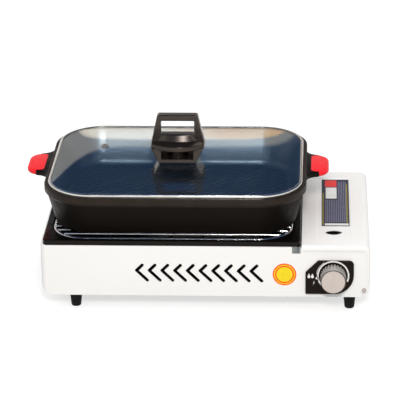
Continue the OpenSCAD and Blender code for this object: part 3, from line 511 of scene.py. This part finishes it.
def zinc(name, dark, light):
    """Plated sheet with faint crystals."""
    material = finish(name, light, 0.35, 1.0)
    cells = add(material, "ShaderNodeTexVoronoi")
    cells.inputs["Scale"].default_value = 180
    link(material, place_in(material), cells.inputs["Vector"])
    crystals = ramp(material, cells.outputs["Color"], [(0.1, dark), (0.9, light)])
    link(material, crystals, shader_of(material).inputs["Base Color"])
    wander(material, 160, 0.28, 0.42)
    return material


def rubber(name, tone):
    material = finish(name, grey(tone), 0.62, Specular_IOR_Level=0.12)
    mottle(material, 90, grey(0.7 * tone), grey(1.3 * tone))
    wander(material, 130, 0.55, 0.7)
    relief(material, noise(material, 1500, 2), 0.12, 0.0003)
    return material


def gloss_black():
    material = black_finish("panel_black", (0.008, 0.0052, 0.0034), 0.24, 0.1)
    mottle(material, 60, (0.007, 0.0045, 0.003), (0.009, 0.0059, 0.0039))
    wander(material, 140, 0.2, 0.3)
    return material


def metal(name, color, roughness):
    material = finish(name, color, roughness, 1.0)
    mottle(material, 200, tuple(0.88 * c for c in color), tuple(min(1, 1.1 * c) for c in color))
    wander(material, 280, 0.8 * roughness, 1.25 * roughness)
    return material


def satin_face():
    """Metal paint on the knob's face, too fine for its grain to show."""
    material = finish("satin_face", (0.56, 0.49, 0.45), 0.5, 0.3)
    mottle(material, 40, (0.54, 0.47, 0.43), (0.58, 0.51, 0.47))
    wander(material, 70, 0.46, 0.55)
    return material


def satin_side():
    """Metal paint on the knob's flutes."""
    material = finish("satin_side", (0.46, 0.43, 0.41), 0.32, 0.4)
    mottle(material, 60, (0.43, 0.40, 0.38), (0.49, 0.46, 0.44))
    wander(material, 90, 0.26, 0.38)
    return material


def plastic(name, color, roughness):
    material = finish(name, color, roughness)
    mottle(material, 80, tuple(0.92 * c for c in color), tuple(min(1, 1.06 * c) for c in color))
    wander(material, 150, 0.85 * roughness, 1.15 * roughness)
    return material


def print_ink(name, color):
    material = finish(name, color, 0.42, Specular_IOR_Level=0.3)
    mottle(material, 120, tuple(0.93 * c for c in color), tuple(min(1, 1.05 * c) for c in color))
    wander(material, 160, 0.38, 0.48)
    return material


coat = powder_coat()
steel = stainless()
handle_black = phenolic()


# Stove: casing, feet and the parts inside

def on_front(piece, x, y, z):
    """Stands a flat shape up against a wall that faces the front."""
    take(piece)
    piece.rotation_euler = (math.pi / 2, 0, 0)
    piece.location = (x, y, z)
    return piece


def dress(material, *names):
    """A finish for CAD pieces that are shown as they are."""
    for name in names:
        nodes[name].data.materials.clear()
        nodes[name].data.materials.append(material)
        take(nodes[name])
        bpy.ops.object.shade_smooth_by_angle(angle=math.radians(SOFT_ANGLE))


def vents(shell):
    """Cuts the bent slots in the front to their full width."""
    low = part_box("casing")[0]
    half = VENT_W / 2
    up, down = VENT_UP * math.sqrt(0.5), VENT_DOWN * math.sqrt(0.5)
    outline = arc((0, 0), half, 135, 225, 4) + arc((down, -down), half, 225, 405, 10)
    outline += [(half * math.sqrt(2), 0)] + arc((up, up), half, -45, 135, 10)
    for i in range(VENT_COUNT):
        slot = slab("vent_slot", outline, -VENT_W, VENT_W)
        on_front(slot, VENT_SPOT[0] + i * VENT_PITCH, low.y, low.z + VENT_SPOT[1])
        bpy.ops.object.transform_apply(location=True, rotation=True, scale=True)
        joined_by(shell, slot, "DIFFERENCE")
    return shell


casing = vents(softened("casing", "casing_shell", SHEET_EDGE))
put(casing, "stove", "casing_paint", coat, "casing", fair=True)
cover = softened("cover_shell", "cartridge_cover", COVER_EDGE, segments=3)
put(cover, "cover", "casing_paint", coat, "cover_shell", fair=True)
tray = softened("drip_tray", "enamel_tray", ENAMEL_EDGE)
put(tray, "tray", "tray_enamel", enamel(), "drip_tray", fair=True)
dress(zinc("zinc_plate", (0.34, 0.36, 0.37), (0.48, 0.50, 0.51)), "partition", "cartridge_guide")
# A darker plate for the parts under and beside the tray: painted shade
shaded_inner_zinc = zinc("shaded_inner_zinc", (0.10, 0.115, 0.11), (0.25, 0.27, 0.265))
dress(shaded_inner_zinc, "partition_bracket", "heat_shield", "burner_stand")
dress(metal("plated_steel", (0.6, 0.6, 0.6), 0.3), "foot_screws", "handle_screw")
dress(metal("pin_steel", (0.44, 0.40, 0.37), 0.35), "hinge_pins")
dress(metal("cast_alloy", (0.36, 0.36, 0.35), 0.5), "regulator")
dress(metal("ferrite", (0.05, 0.05, 0.05), 0.5), "magnet_ring")
dress(metal("turned_brass", (0.68, 0.5, 0.2), 0.25), "gas_nozzle", "valve_spindle")
dress(plastic("igniter_white", (0.75, 0.75, 0.7), 0.4), "piezo_igniter")
dress(plastic("lead_red", (0.4, 0.03, 0.02), 0.45), "igniter_lead")
dress(plastic("white_ceramic", (0.82, 0.81, 0.77), 0.25), "electrode")
dress(metal("burner_steel", (0.42, 0.41, 0.4), 0.35), "burner", "mixing_tube")
dress(chrome_wire(), "wire_grate")
dress(steel, "vent_eyelet")
dress(rubber("seal_rubber", 0.02), "handle_washer")


def feet():
    """Tapered rubber feet with a rounded sole."""
    low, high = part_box("feet")
    height = high.z - low.z
    section = [(FEET_POLE, FEET_DISH), (FEET_SOLE - FEET_FLAT, 0.0)]
    section += arc((FEET_SOLE - FEET_ROUND, FEET_ROUND), FEET_ROUND, -85, -5, 5)
    section += [(FEET_TOP, FEET_TAPER * height), (FEET_TOP, height - FEET_EDGE_DOWN)]
    section += [(FEET_TOP - FEET_EDGE_IN, height), (FEET_POLE, height)]
    foot = raised("foot", section, steps=8)
    material = rubber("foot_rubber", 0.005)
    for i, x in enumerate((low.x + FEET_TOP, high.x - FEET_TOP)):
        for j, y in enumerate((low.y + FEET_TOP, high.y - FEET_TOP)):
            take(foot)
            bpy.ops.object.duplicate()
            copy = named(f"foot_{i}{j}")
            copy.location = (x, y, low.z)
            put(copy, "stove", "foot_rubber", material, "feet")
    bpy.data.objects.remove(foot)


feet()


# Control panel and knob

panel = softened("control_panel", "panel_plate", PANEL_EDGE, segments=3)
put(panel, "stove", "panel_plastic", gloss_black(), "control_panel", fair=True)
knob = softened("knob_body", "knob_grip", KNOB_EDGE, angle=KNOB_SHARP_ANGLE)
put(knob, "knob", "knob_plastic", satin_side(), "knob_body", fair=True)
knob.data.materials.append(handle_black)
for face in knob.data.polygons:
    if face.normal.y < FRONT_NORMAL:
        face.material_index = 1
knob_face = softened("knob_cap", "knob_face", KNOB_FACE_EDGE, segments=3)
put(knob_face, "knob", "knob_face", satin_face(), "knob_cap", fair=True)


# Printed marks

def ring(inner, outer, start, stop, steps=40):
    """Outline of a stretch of a ring."""
    return arc((0, 0), outer, start, stop, steps) + arc((0, 0), inner, stop, start, steps)


def drop(x, y):
    """Outline of a drop, pointed at the top."""
    return [(x, y + DROP_POINT * DROP_R)] + arc((x, y), DROP_R, 155, 385, 12)


def panel_marks():
    """The scale round the knob, two drops and a spark."""
    low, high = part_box("knob_body")
    x, z = (low.x + high.x) / 2, (low.z + high.z) / 2
    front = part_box("control_panel")[0].y
    ink = print_ink("print_white", (0.82, 0.81, 0.8))
    marks = {
        "scale_ring": ring(*SCALE_RING, *SCALE_SWEEP),
        "scale_line": ring(*LINE_RING, *LINE_SWEEP, LINE_STEPS),
        "scale_arrow": ARROW,
        "large_drop": drop(*LARGE_DROP),
        "small_drop": drop(*SMALL_DROP),
        "spark": SPARK,
    }
    for name, outline in marks.items():
        put(on_front(slab(name, outline, 0, PRINT_T), x, front, z), "stove", "panel_plastic", ink)


def front_disc():
    """A plain disc beside the vents: ever smaller discs, each a little prouder, in two colours by turns."""
    x, z = DISC_SPOT
    last = 360 - 360 / DISC_POINTS
    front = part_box("casing")[0].y
    orange = print_ink("print_orange", (0.93, 0.13, 0.01))
    yellow = print_ink("print_bright", (0.90, 0.68, 0.012))
    for i, radius in enumerate(DISC_RINGS):
        outline = arc((0, 0), radius, 0, last, DISC_POINTS - 1)
        disc = slab(f"disc_{i}", outline, 0, (1 + DISC_STEP * i) * PRINT_T)
        put(on_front(disc, x, front, z), "stove", "casing_paint", (orange, yellow)[i % 2])


def cover_print():
    """A plain dark field with colour blocks and lines, whose ends are shares of its width and length."""
    left, right = FIELD_X
    front, back = FIELD_Y
    red = print_ink("print_red", (0.80, 0.03, 0.03))
    pale = print_ink("print_pale", (0.78, 0.77, 0.76))
    olive = print_ink("print_olive", (0.26, 0.23, 0.02))
    lilac = print_ink("print_lilac", (0.20, 0.20, 0.30))
    blocks = [(red, 0.12, 0.55, 0.02, 0.165)]
    blocks += [(pale, 0.15, 0.55, 0.18, 0.42), (pale, 0.12, 0.97, 0.945, 0.985)]
    blocks += [(olive, 0.03, 0.075, 0.30, 0.98), (olive, 0.895, 0.945, 0.10, 0.93)]
    for start, count, head in ((0.60, 5, 0.05), (0.14, 7, 0.45)):
        lines = [start + i * STRIPE_PITCH for i in range(count)]
        blocks += [(lilac, x, x + STRIPE_W, head, 0.92) for x in lines]

    def block(x0, x1, y0, y1):
        wide, long = right - left, back - front
        return oblong(left + x0 * wide, left + x1 * wide, back - y1 * long, back - y0 * long)

    field = slab("cover_field", block(0, 1, 0, 1), FIELD_Z, FIELD_Z + PRINT_T)
    put(field, "cover", "casing_paint", print_ink("print_navy", (0.022, 0.028, 0.055)))
    for i, (ink, *ends) in enumerate(blocks):
        band = slab(f"cover_band_{i}", block(*ends), FIELD_Z + PRINT_T / 2, FIELD_Z + BAND_TOP * PRINT_T)
        put(band, "cover", "casing_paint", ink)


panel_marks()
front_disc()
cover_print()


# Pan, lugs and grips

def pan_section():
    """Half a section: up the outside, over the rim and the lid's seat, and down the inside."""
    out = PAN_CORNER - RIM_OUT
    foot = out - PAN_TAPER
    under = PAN_H - RIM_H
    seat = PAN_CORNER - LID_IN + SEAT_PLAY
    shelf = PAN_H - LID_SEAT
    inner = out - PAN_WALL
    section = [(PAN_POLE, 0.0), (foot - PAN_BEND - PAN_SOLE, 0.0)]
    section += arc((foot - PAN_BEND, PAN_BEND), PAN_BEND, -90, -PAN_LEAN, 7)
    section += [(out - PAN_EDGE, under - RIM_START)]
    section += arc((PAN_CORNER - RIM_FOOT, under + RIM_END), RIM_FOOT, -60, 0, 3)
    section += arc((PAN_CORNER - RIM_ROUND, PAN_H - RIM_ROUND), RIM_ROUND, 0, 90, 4)
    section += [(seat + PAN_EDGE, PAN_H), (seat, PAN_H - PAN_EDGE), (seat, shelf)]
    section += [(inner + SEAT_ROUND, shelf), (inner, shelf - SEAT_ROUND)]
    # A wide fillet at the foot of the wall runs into a tight one on the floor
    turn = math.radians(FILLET_STOP)
    spare = FILLET_R - HEEL_R
    x = foot - PAN_WALL - PAN_SWELL - FILLET_R * math.cos(math.radians(FILLET_START))
    z = PAN_FLOOR + HEEL_R
    section += arc((x, z - spare * math.sin(turn)), FILLET_R, FILLET_START, FILLET_STOP, 5)
    section += arc((x + spare * math.cos(turn), z), HEEL_R, HEEL_START, -90, 4)
    section += [(PAN_POLE, PAN_FLOOR)]
    return section


def inside(spot):
    """True inside the middle of the pan's wall and above its floor."""
    out = math.hypot(max(abs(spot.x) - PAN_HX, 0), max(abs(spot.y) - PAN_HY, 0))
    wall = PAN_CORNER - RIM_OUT - PAN_TAPER * (1 - spot.z / PAN_H) - PAN_WALL / 2
    return out < wall and spot.z > PAN_FLOOR - SAME_HEIGHT


def banded(spot):
    """True on the rim band."""
    return spot.z > PAN_H - RIM_H and not inside(spot)


def ribs():
    """Slanting ribs on the pan's floor, cut off along a rounded pad."""
    floor_r = PAN_CORNER - RIM_OUT - PAN_TAPER - PAN_WALL - RIB_IN
    length = 2 * math.hypot(PAN_HX + floor_r, PAN_HY + floor_r)
    count = 2 * int(length / 2 / RIB_PITCH) + 1
    bpy.ops.object.select_all(action="DESELECT")
    bpy.ops.mesh.primitive_cube_add(size=1, location=(-(count - 1) / 2 * RIB_PITCH, 0, 0))
    row = named("pan_ribs")
    row.scale = (RIB_W, length, 2 * RIB_RISE)
    bpy.ops.object.transform_apply(location=True, rotation=True, scale=True)
    rounded(row, RIB_EDGE, segments=2, angle=60)
    bpy.ops.object.modifier_add(type="ARRAY")
    copies = row.modifiers[-1]
    copies.count = count
    copies.use_relative_offset = False
    copies.use_constant_offset = True
    copies.constant_offset_displace = (RIB_PITCH, 0, 0)
    bpy.ops.object.modifier_apply(modifier=copies.name)
    row.rotation_euler = (0, 0, -math.pi / 4)
    bpy.ops.object.transform_apply(location=True, rotation=True, scale=True)
    pad = raised("rib_pad", [(floor_r, -RIB_SINK), (floor_r, 2 * RIB_RISE)], PAN_HX, PAN_HY)
    joined_by(row, pad, "INTERSECT")
    row.location = (PAN_MIDDLE.x, PAN_MIDDLE.y, pan_low.z + PAN_FLOOR)
    return row


outer_coat = pan_coat()
inner_coat = cooking_coat()
pan = raised("pan_body", pan_section(), PAN_HX, PAN_HY)
cooking_faces = [face.index for face in pan.data.polygons if inside(face.center)]
# The rim band's faces get the paler coat, a painted sheen
rim_faces = [face.index for face in pan.data.polygons if banded(face.center)]
pan.location = (PAN_MIDDLE.x, PAN_MIDDLE.y, pan_low.z)
put(pan, "pan", "pan_coating", outer_coat, "pan")
for number, material, faces in ((1, inner_coat, cooking_faces), (2, rim_sheen_coat(), rim_faces)):
    pan.data.materials.append(material)
    for index in faces:
        pan.data.polygons[index].material_index = number
put(ribs(), "pan", "pan_coating", inner_coat, "pan")


def grip_outline():
    """A grip, narrower where it starts between the lug's arms."""
    half = GRIP_W / 2
    outline = [(LUG_BARE, -half + GRIP_TAPER)]
    outline += arc((GRIP_L - GRIP_R, -half + GRIP_R), GRIP_R, -90, 0, 10)
    outline += arc((GRIP_L - GRIP_R, half - GRIP_R), GRIP_R, 0, 90, 10)
    return outline + [(LUG_BARE, half - GRIP_TAPER)]


def lug_outline():
    """A lug flares out from the grip to the rim."""
    half = GRIP_W / 2 + LUG_ARM
    flare = arc((LUG_FLARE, -half - LUG_FLARE), LUG_FLARE, 180, 90, 10)
    root = -PAN_WALL
    outline = [(root, -half - LUG_FLARE)] + flare
    return outline + [(x, -y) for x, y in reversed(flare)] + [(root, half + LUG_FLARE)]


def at_rim(piece, side, height):
    """Sets a piece that was drawn along +X against the pan's rim."""
    take(piece)
    piece.rotation_euler = (0, 0, 0 if side > 0 else math.pi)
    piece.location = (PAN_MIDDLE.x + side * PAN_W / 2, PAN_MIDDLE.y, height)
    bpy.ops.object.transform_apply(location=True, rotation=True, scale=True)
    return piece


red = silicone()
for side, node in ((-1, "grip_left"), (1, "grip_right")):
    low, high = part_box(node)
    height = (low.z + high.z) / 2
    thick = high.z - low.z
    grip = slab(node + "_sleeve", grip_outline(), -thick / 2, thick / 2)
    rounded(grip, GRIP_EDGE, segments=5, angle=50)
    put(at_rim(grip, side, height), "pan", "grip_silicone", red, node, smooth=50)
    lug = slab(node + "_lug", lug_outline(), -LUG_T / 2, LUG_T / 2)
    rounded(lug, LUG_EDGE, segments=4, angle=50)
    put(at_rim(lug, side, height), "pan", "pan_coating", outer_coat, "pan", smooth=50)


# Lid

LID_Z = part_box("lid_rim")[0].z
LID_R = PAN_CORNER - LID_IN
GLASS_R = LID_R - LID_SHEET - LID_GAP
GLASS_Z = LID_Z + LID_SHEET + LID_GAP


def crown(x, y):
    """Rise of the pane above its edge."""
    u, v = x / (PAN_HX + GLASS_R), y / (PAN_HY + GLASS_R)
    return DOME_H * (1 - u ** 6) * (1 - v ** 2)


def pane():
    """A pane of even thickness, crowned both ways, cut to the lid's outline and drilled."""
    bpy.ops.object.select_all(action="DESELECT")
    bpy.ops.mesh.primitive_grid_add(x_subdivisions=48, y_subdivisions=40, size=2)
    piece = named("lid_pane")
    piece.scale = (PAN_HX + GLASS_R + GLASS_T, PAN_HY + GLASS_R + GLASS_T, 1)
    bpy.ops.object.transform_apply(location=True, rotation=True, scale=True)
    bpy.ops.object.mode_set(mode="EDIT")
    bpy.ops.mesh.select_all(action="SELECT")
    bpy.ops.mesh.extrude_region_move(TRANSFORM_OT_translate={"value": (0, 0, GLASS_T)})
    bpy.ops.mesh.select_all(action="SELECT")
    bpy.ops.mesh.normals_make_consistent(inside=False)
    bpy.ops.object.mode_set(mode="OBJECT")
    for point in piece.data.vertices:
        point.co.z += crown(point.co.x, point.co.y)
    deep = 2 * GLASS_T
    edge = raised("pane_edge", [(GLASS_R, -deep), (GLASS_R, 2 * deep)], PAN_HX, PAN_HY)
    joined_by(piece, edge, "INTERSECT")
    low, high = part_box("vent_eyelet")
    for hole, x, y in (
        (STUD_HOLE, 0, 0),
        (STEAM_HOLE, (low.x + high.x) / 2 - PAN_MIDDLE.x, (low.y + high.y) / 2 - PAN_MIDDLE.y),
    ):
        drill = raised("drill", [(hole, -deep), (hole, 2 * deep)], steps=8)
        drill.location = (x, y, 0)
        joined_by(piece, drill, "DIFFERENCE")
    piece.location = (PAN_MIDDLE.x, PAN_MIDDLE.y, GLASS_Z)
    return piece


def rim_section():
    """A steel band folded round the edge of the pane."""
    inner = LID_R - LID_FLANGE
    over = LID_SHEET + GLASS_T + LID_PLAY
    top = over + LID_SHEET
    section = [(inner, 0.0), (LID_R - LID_FOLD, 0.0), (LID_R, LID_FOLD)]
    section += arc((LID_R - LID_ROUND, top - LID_ROUND + LID_CROWN), LID_ROUND, 0, 80, 5)
    section += [(inner + LID_EDGE, top + LID_CROWN), (inner, top - LID_GAP)]
    section += [(inner, over), (GLASS_R, over), (GLASS_R, LID_SHEET), (inner, LID_SHEET)]
    return section


def grown(piece, steps):
    """Carries the top face on in steps, each a width and a depth beside the first and a height above it."""
    take(piece)
    bpy.ops.object.mode_set(mode="EDIT")
    pick("FACE", lambda f: f.normal.z > TOP_NORMAL)
    width, depth, height = 1, 1, 0
    for x, y, z in steps:
        bpy.ops.mesh.extrude_region_move(TRANSFORM_OT_translate={"value": (0, 0, z - height)})
        bpy.ops.transform.resize(value=(x / width, y / depth, 1), center_override=(0, 0, 0))
        width, depth, height = x, y, z
    bpy.ops.object.mode_set(mode="OBJECT")
    return piece


def handle_arch():
    """The upright arch with its finger window."""
    half, wide, shoulder = HANDLE_TOP / 2, HANDLE_WIDE / 2, GUARD_Z + GUARD_T / 2
    bend_x, bend_z = half - HANDLE_CORNER, HANDLE_H - HANDLE_CORNER
    outline = [(-wide, GUARD_Z), (wide, GUARD_Z), (wide, shoulder)]
    outline += arc((bend_x, bend_z), HANDLE_CORNER, HANDLE_LEAN, 90, 5)
    outline += arc((-bend_x, bend_z), HANDLE_CORNER, 90, 180 - HANDLE_LEAN, 5)
    outline += [(-wide, shoulder)]
    arch = slab("lid_grip", outline, -HANDLE_T / 2, HANDLE_T / 2)
    side, head = half - HANDLE_LEG, HANDLE_H - HANDLE_BAR
    window = slab("window", oblong(-side, side, head - WINDOW_H, head), -HANDLE_T, HANDLE_T)
    joined_by(arch, window, "DIFFERENCE")
    rounded(arch, HANDLE_EDGE, segments=5, angle=40)
    arch.rotation_euler = (math.pi / 2, 0, 0)
    bpy.ops.object.transform_apply(location=True, rotation=True, scale=True)
    return arch


def handle_guard():
    """The barrel-shaped guard, dished and flared up to the arch."""
    half, bulge = HANDLE_WIDE / 2, (GUARD_D - GUARD_SIDE) / 2
    bow = (half * half + bulge * bulge) / (2 * bulge)
    lean = math.degrees(math.asin(half / bow))
    outline = arc((0, GUARD_D / 2 - bow), bow, 90 - lean, 90 + lean, 16)
    outline += arc((0, bow - GUARD_D / 2), bow, 270 - lean, 270 + lean, 16)
    guard = slab("guard", outline, GUARD_Z, GUARD_Z + GUARD_LIP)
    grown(guard, [(x, y, GUARD_T - GUARD_LIP + z) for x, y, z in GUARD_STEPS])
    return rounded(guard, GUARD_EDGE, segments=4, angle=35)


def handle_foot():
    """The foot, with a deep pocket at the front and at the back of a web and a boss for the stud."""
    x, y = FOOT_W / 2, FOOT_D / 2
    foot = slab("foot", oblong(-x, x, -y, y), 0, FOOT_SLAB)
    flare = (HANDLE_WIDE / 2 - FOOT_INSET_X) / x
    grown(foot, [(flare, (y - FOOT_INSET_Y) / y, GUARD_Z + FOOT_LAP)])
    rounded(foot, FOOT_EDGE, segments=3, angle=40)
    x, head = POCKET_W / 2, GUARD_Z + POCKET_LAP
    for side in (-1, 1):
        ends = sorted((side * FOOT_WEB / 2, side * FOOT_D))
        pocket = slab("pocket", oblong(-x, x, *ends), FOOT_BAR, head)
        joined_by(foot, pocket, "DIFFERENCE")
    boss = raised("boss", [(BOSS_R, BOSS_Z), (BOSS_R, GUARD_Z + GUARD_LIP)], steps=10)
    return joined_by(foot, boss, "UNION")


rim = raised("lid_band", rim_section(), PAN_HX, PAN_HY, closed=True)
rim.location = (PAN_MIDDLE.x, PAN_MIDDLE.y, LID_Z)
put(rim, "lid", "lid_steel", steel, "lid_rim")
put(pane(), "lid", "glass", clear_glass(), "lid_glass", smooth=60)
handle = joined_by(joined_by(handle_arch(), handle_guard(), "UNION"), handle_foot(), "UNION")
handle.location = (PAN_MIDDLE.x, PAN_MIDDLE.y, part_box("lid_handle")[0].z)
put(handle, "lid", "handle_plastic", handle_black, "lid_handle", smooth=40, fair=True)


# Floor, light and camera

FLOOR_SIZE, FLOOR_TONE, FLOOR_GLOW = 14, grey(0.5), 0.6
SUN_SPOT, SUN_TARGET = (0.22, -2.02, 1.5), (0, 0, 0.08)
SUN_SIZE, SUN_POWER, SUN_COLOR = 0.45, 31.5, (1, 0.975, 0.94)

# The sky: colours, and between which heights or sides each one fades into the next
SKY_SOFT = [(0.0, grey(0.30)), (1.0, grey(1.16))]
SKY_BLUE = [(0.318, (0.55, 0.55, 0.53)), (0.326, (0.035, 0.08, 0.175)), (1.0, (0.02, 0.05, 0.13))]
HAZE, HAZE_LEAN, HAZE_EDGE = (0.58, 0.58, 0.57), 0.674, (0.2555, 0.26)
HORIZON_LEFT, HORIZON_RIGHT, SIDE_EDGE = (1.9, 1.75, 1.5), (1.6, 1.1, 0.65), (0.43, 0.46)
HORIZON_EDGE = (0.299, 0.304)
GROUND, GROUND_EDGE = (0.88, 0.86, 0.83), (0.24, 0.28)
FRONT, FRONT_EDGE, FRONT_TOP = (1.2, 1.2, 1.2), (0.55, 0.85), (0.10, 0.18)


def floor():
    """A pale floor that takes the shadow and looks light to the camera, to gloss and through glass."""
    bpy.ops.object.select_all(action="DESELECT")
    bpy.ops.mesh.primitive_plane_add(size=FLOOR_SIZE)
    piece = named("studio_floor")
    material = bpy.data.materials.new("studio_white")
    material.use_nodes = True
    tree = material.node_tree
    tree.nodes.remove(tree.nodes["Principled BSDF"])
    paint = add(material, "ShaderNodeBsdfDiffuse")
    paint.inputs["Color"].default_value = (*FLOOR_TONE, 1)
    glow = add(material, "ShaderNodeEmission")
    path = add(material, "ShaderNodeLightPath")
    seen = add(material, "ShaderNodeMath", operation="MAXIMUM")
    link(material, path.outputs["Is Camera Ray"], seen.inputs[0])
    link(material, path.outputs["Is Glossy Ray"], seen.inputs[1])
    either = add(material, "ShaderNodeMath", operation="MAXIMUM")
    link(material, seen.outputs[0], either.inputs[0])
    link(material, path.outputs["Is Transmission Ray"], either.inputs[1])
    strength = add(material, "ShaderNodeMath", operation="MULTIPLY")
    strength.inputs[1].default_value = FLOOR_GLOW
    link(material, either.outputs[0], strength.inputs[0])
    link(material, strength.outputs[0], glow.inputs["Strength"])
    both = add(material, "ShaderNodeAddShader")
    link(material, paint.outputs[0], both.inputs[0])
    link(material, glow.outputs[0], both.inputs[1])
    link(material, both.outputs[0], tree.nodes["Material Output"].inputs["Surface"])
    piece.data.materials.append(material)


def sky():
    """Soft light for matt surfaces; gloss and glass see a blue sky over a haze, and a bright front."""
    world = bpy.data.worlds.new("studio_sky")
    world.use_nodes = True
    bpy.context.scene.world = world
    place = add(world, "ShaderNodeTexCoord")
    split = add(world, "ShaderNodeSeparateXYZ")
    link(world, place.outputs["Generated"], split.inputs[0])
    across, along, up = split.outputs

    def sum_of(first, times, second):
        node = add(world, "ShaderNodeMath", operation="MULTIPLY_ADD")
        node.inputs[1].default_value = times
        link(world, first, node.inputs[0])
        feed(world, second, node.inputs[2])
        return node.outputs[0]

    def fade(value, ends):
        return ramp(world, value, [(ends[0], grey(0)), (ends[1], grey(1))])

    def mixed(factor, low, high):
        node = add(world, "ShaderNodeMix", data_type="RGBA")
        link(world, factor, node.inputs["Factor"])
        feed(world, low, node.inputs["A"])
        feed(world, high, node.inputs["B"])
        return node.outputs["Result"]

    blue = ramp(world, up, SKY_BLUE)
    gloss = mixed(fade(sum_of(across, HAZE_LEAN, up), HAZE_EDGE), HAZE, blue)
    low = mixed(fade(sum_of(across, 1, 0.5), SIDE_EDGE), HORIZON_LEFT, HORIZON_RIGHT)
    gloss = mixed(fade(up, HORIZON_EDGE), low, gloss)
    gloss = mixed(fade(up, GROUND_EDGE), GROUND, gloss)
    ahead = mixed(fade(up, FRONT_TOP), FRONT, gloss)
    gloss = mixed(fade(sum_of(along, -1, 0.0), FRONT_EDGE), gloss, ahead)
    path = add(world, "ShaderNodeLightPath")
    either = add(world, "ShaderNodeMath", operation="MAXIMUM")
    link(world, path.outputs["Is Glossy Ray"], either.inputs[0])
    link(world, path.outputs["Is Transmission Ray"], either.inputs[1])
    light = mixed(either.outputs[0], ramp(world, up, SKY_SOFT), gloss)
    white = mixed(path.outputs["Is Camera Ray"], light, (1, 1, 1))
    link(world, white, world.node_tree.nodes["Background"].inputs["Color"])


def lamp(name, spot, target, size, power, color):
    """A round soft lamp that points at a target."""
    bpy.ops.object.light_add(type="AREA", location=spot)
    light = bpy.context.active_object
    light.name = name
    light.data.shape = "DISK"
    light.data.size = size
    light.data.energy = power
    light.data.color = color
    light.rotation_euler = (Vector(target) - Vector(spot)).to_track_quat("-Z", "Y").to_euler()


def camera():
    """The camera, turned about its own axes."""
    bpy.ops.object.camera_add(location=CAMERA_SPOT)
    eye = bpy.context.active_object
    turn = Matrix.Rotation(CAMERA_YAW, 4, "Z") @ Matrix.Rotation(math.pi / 2 - CAMERA_PITCH, 4, "X")
    turn = turn @ Matrix.Rotation(CAMERA_ROLL, 4, "Z")
    eye.matrix_world = Matrix.Translation(CAMERA_SPOT) @ turn
    eye.data.sensor_width = CAMERA_SENSOR
    eye.data.lens = CAMERA_LENS
    eye.data.shift_x, eye.data.shift_y = CAMERA_SHIFT
    eye.data.clip_end = CAMERA_REACH
    bpy.context.scene.camera = eye


floor()
sky()
lamp("sun", SUN_SPOT, SUN_TARGET, SUN_SIZE, SUN_POWER, SUN_COLOR)
camera()
bpy.context.scene.view_settings.view_transform = "Standard"
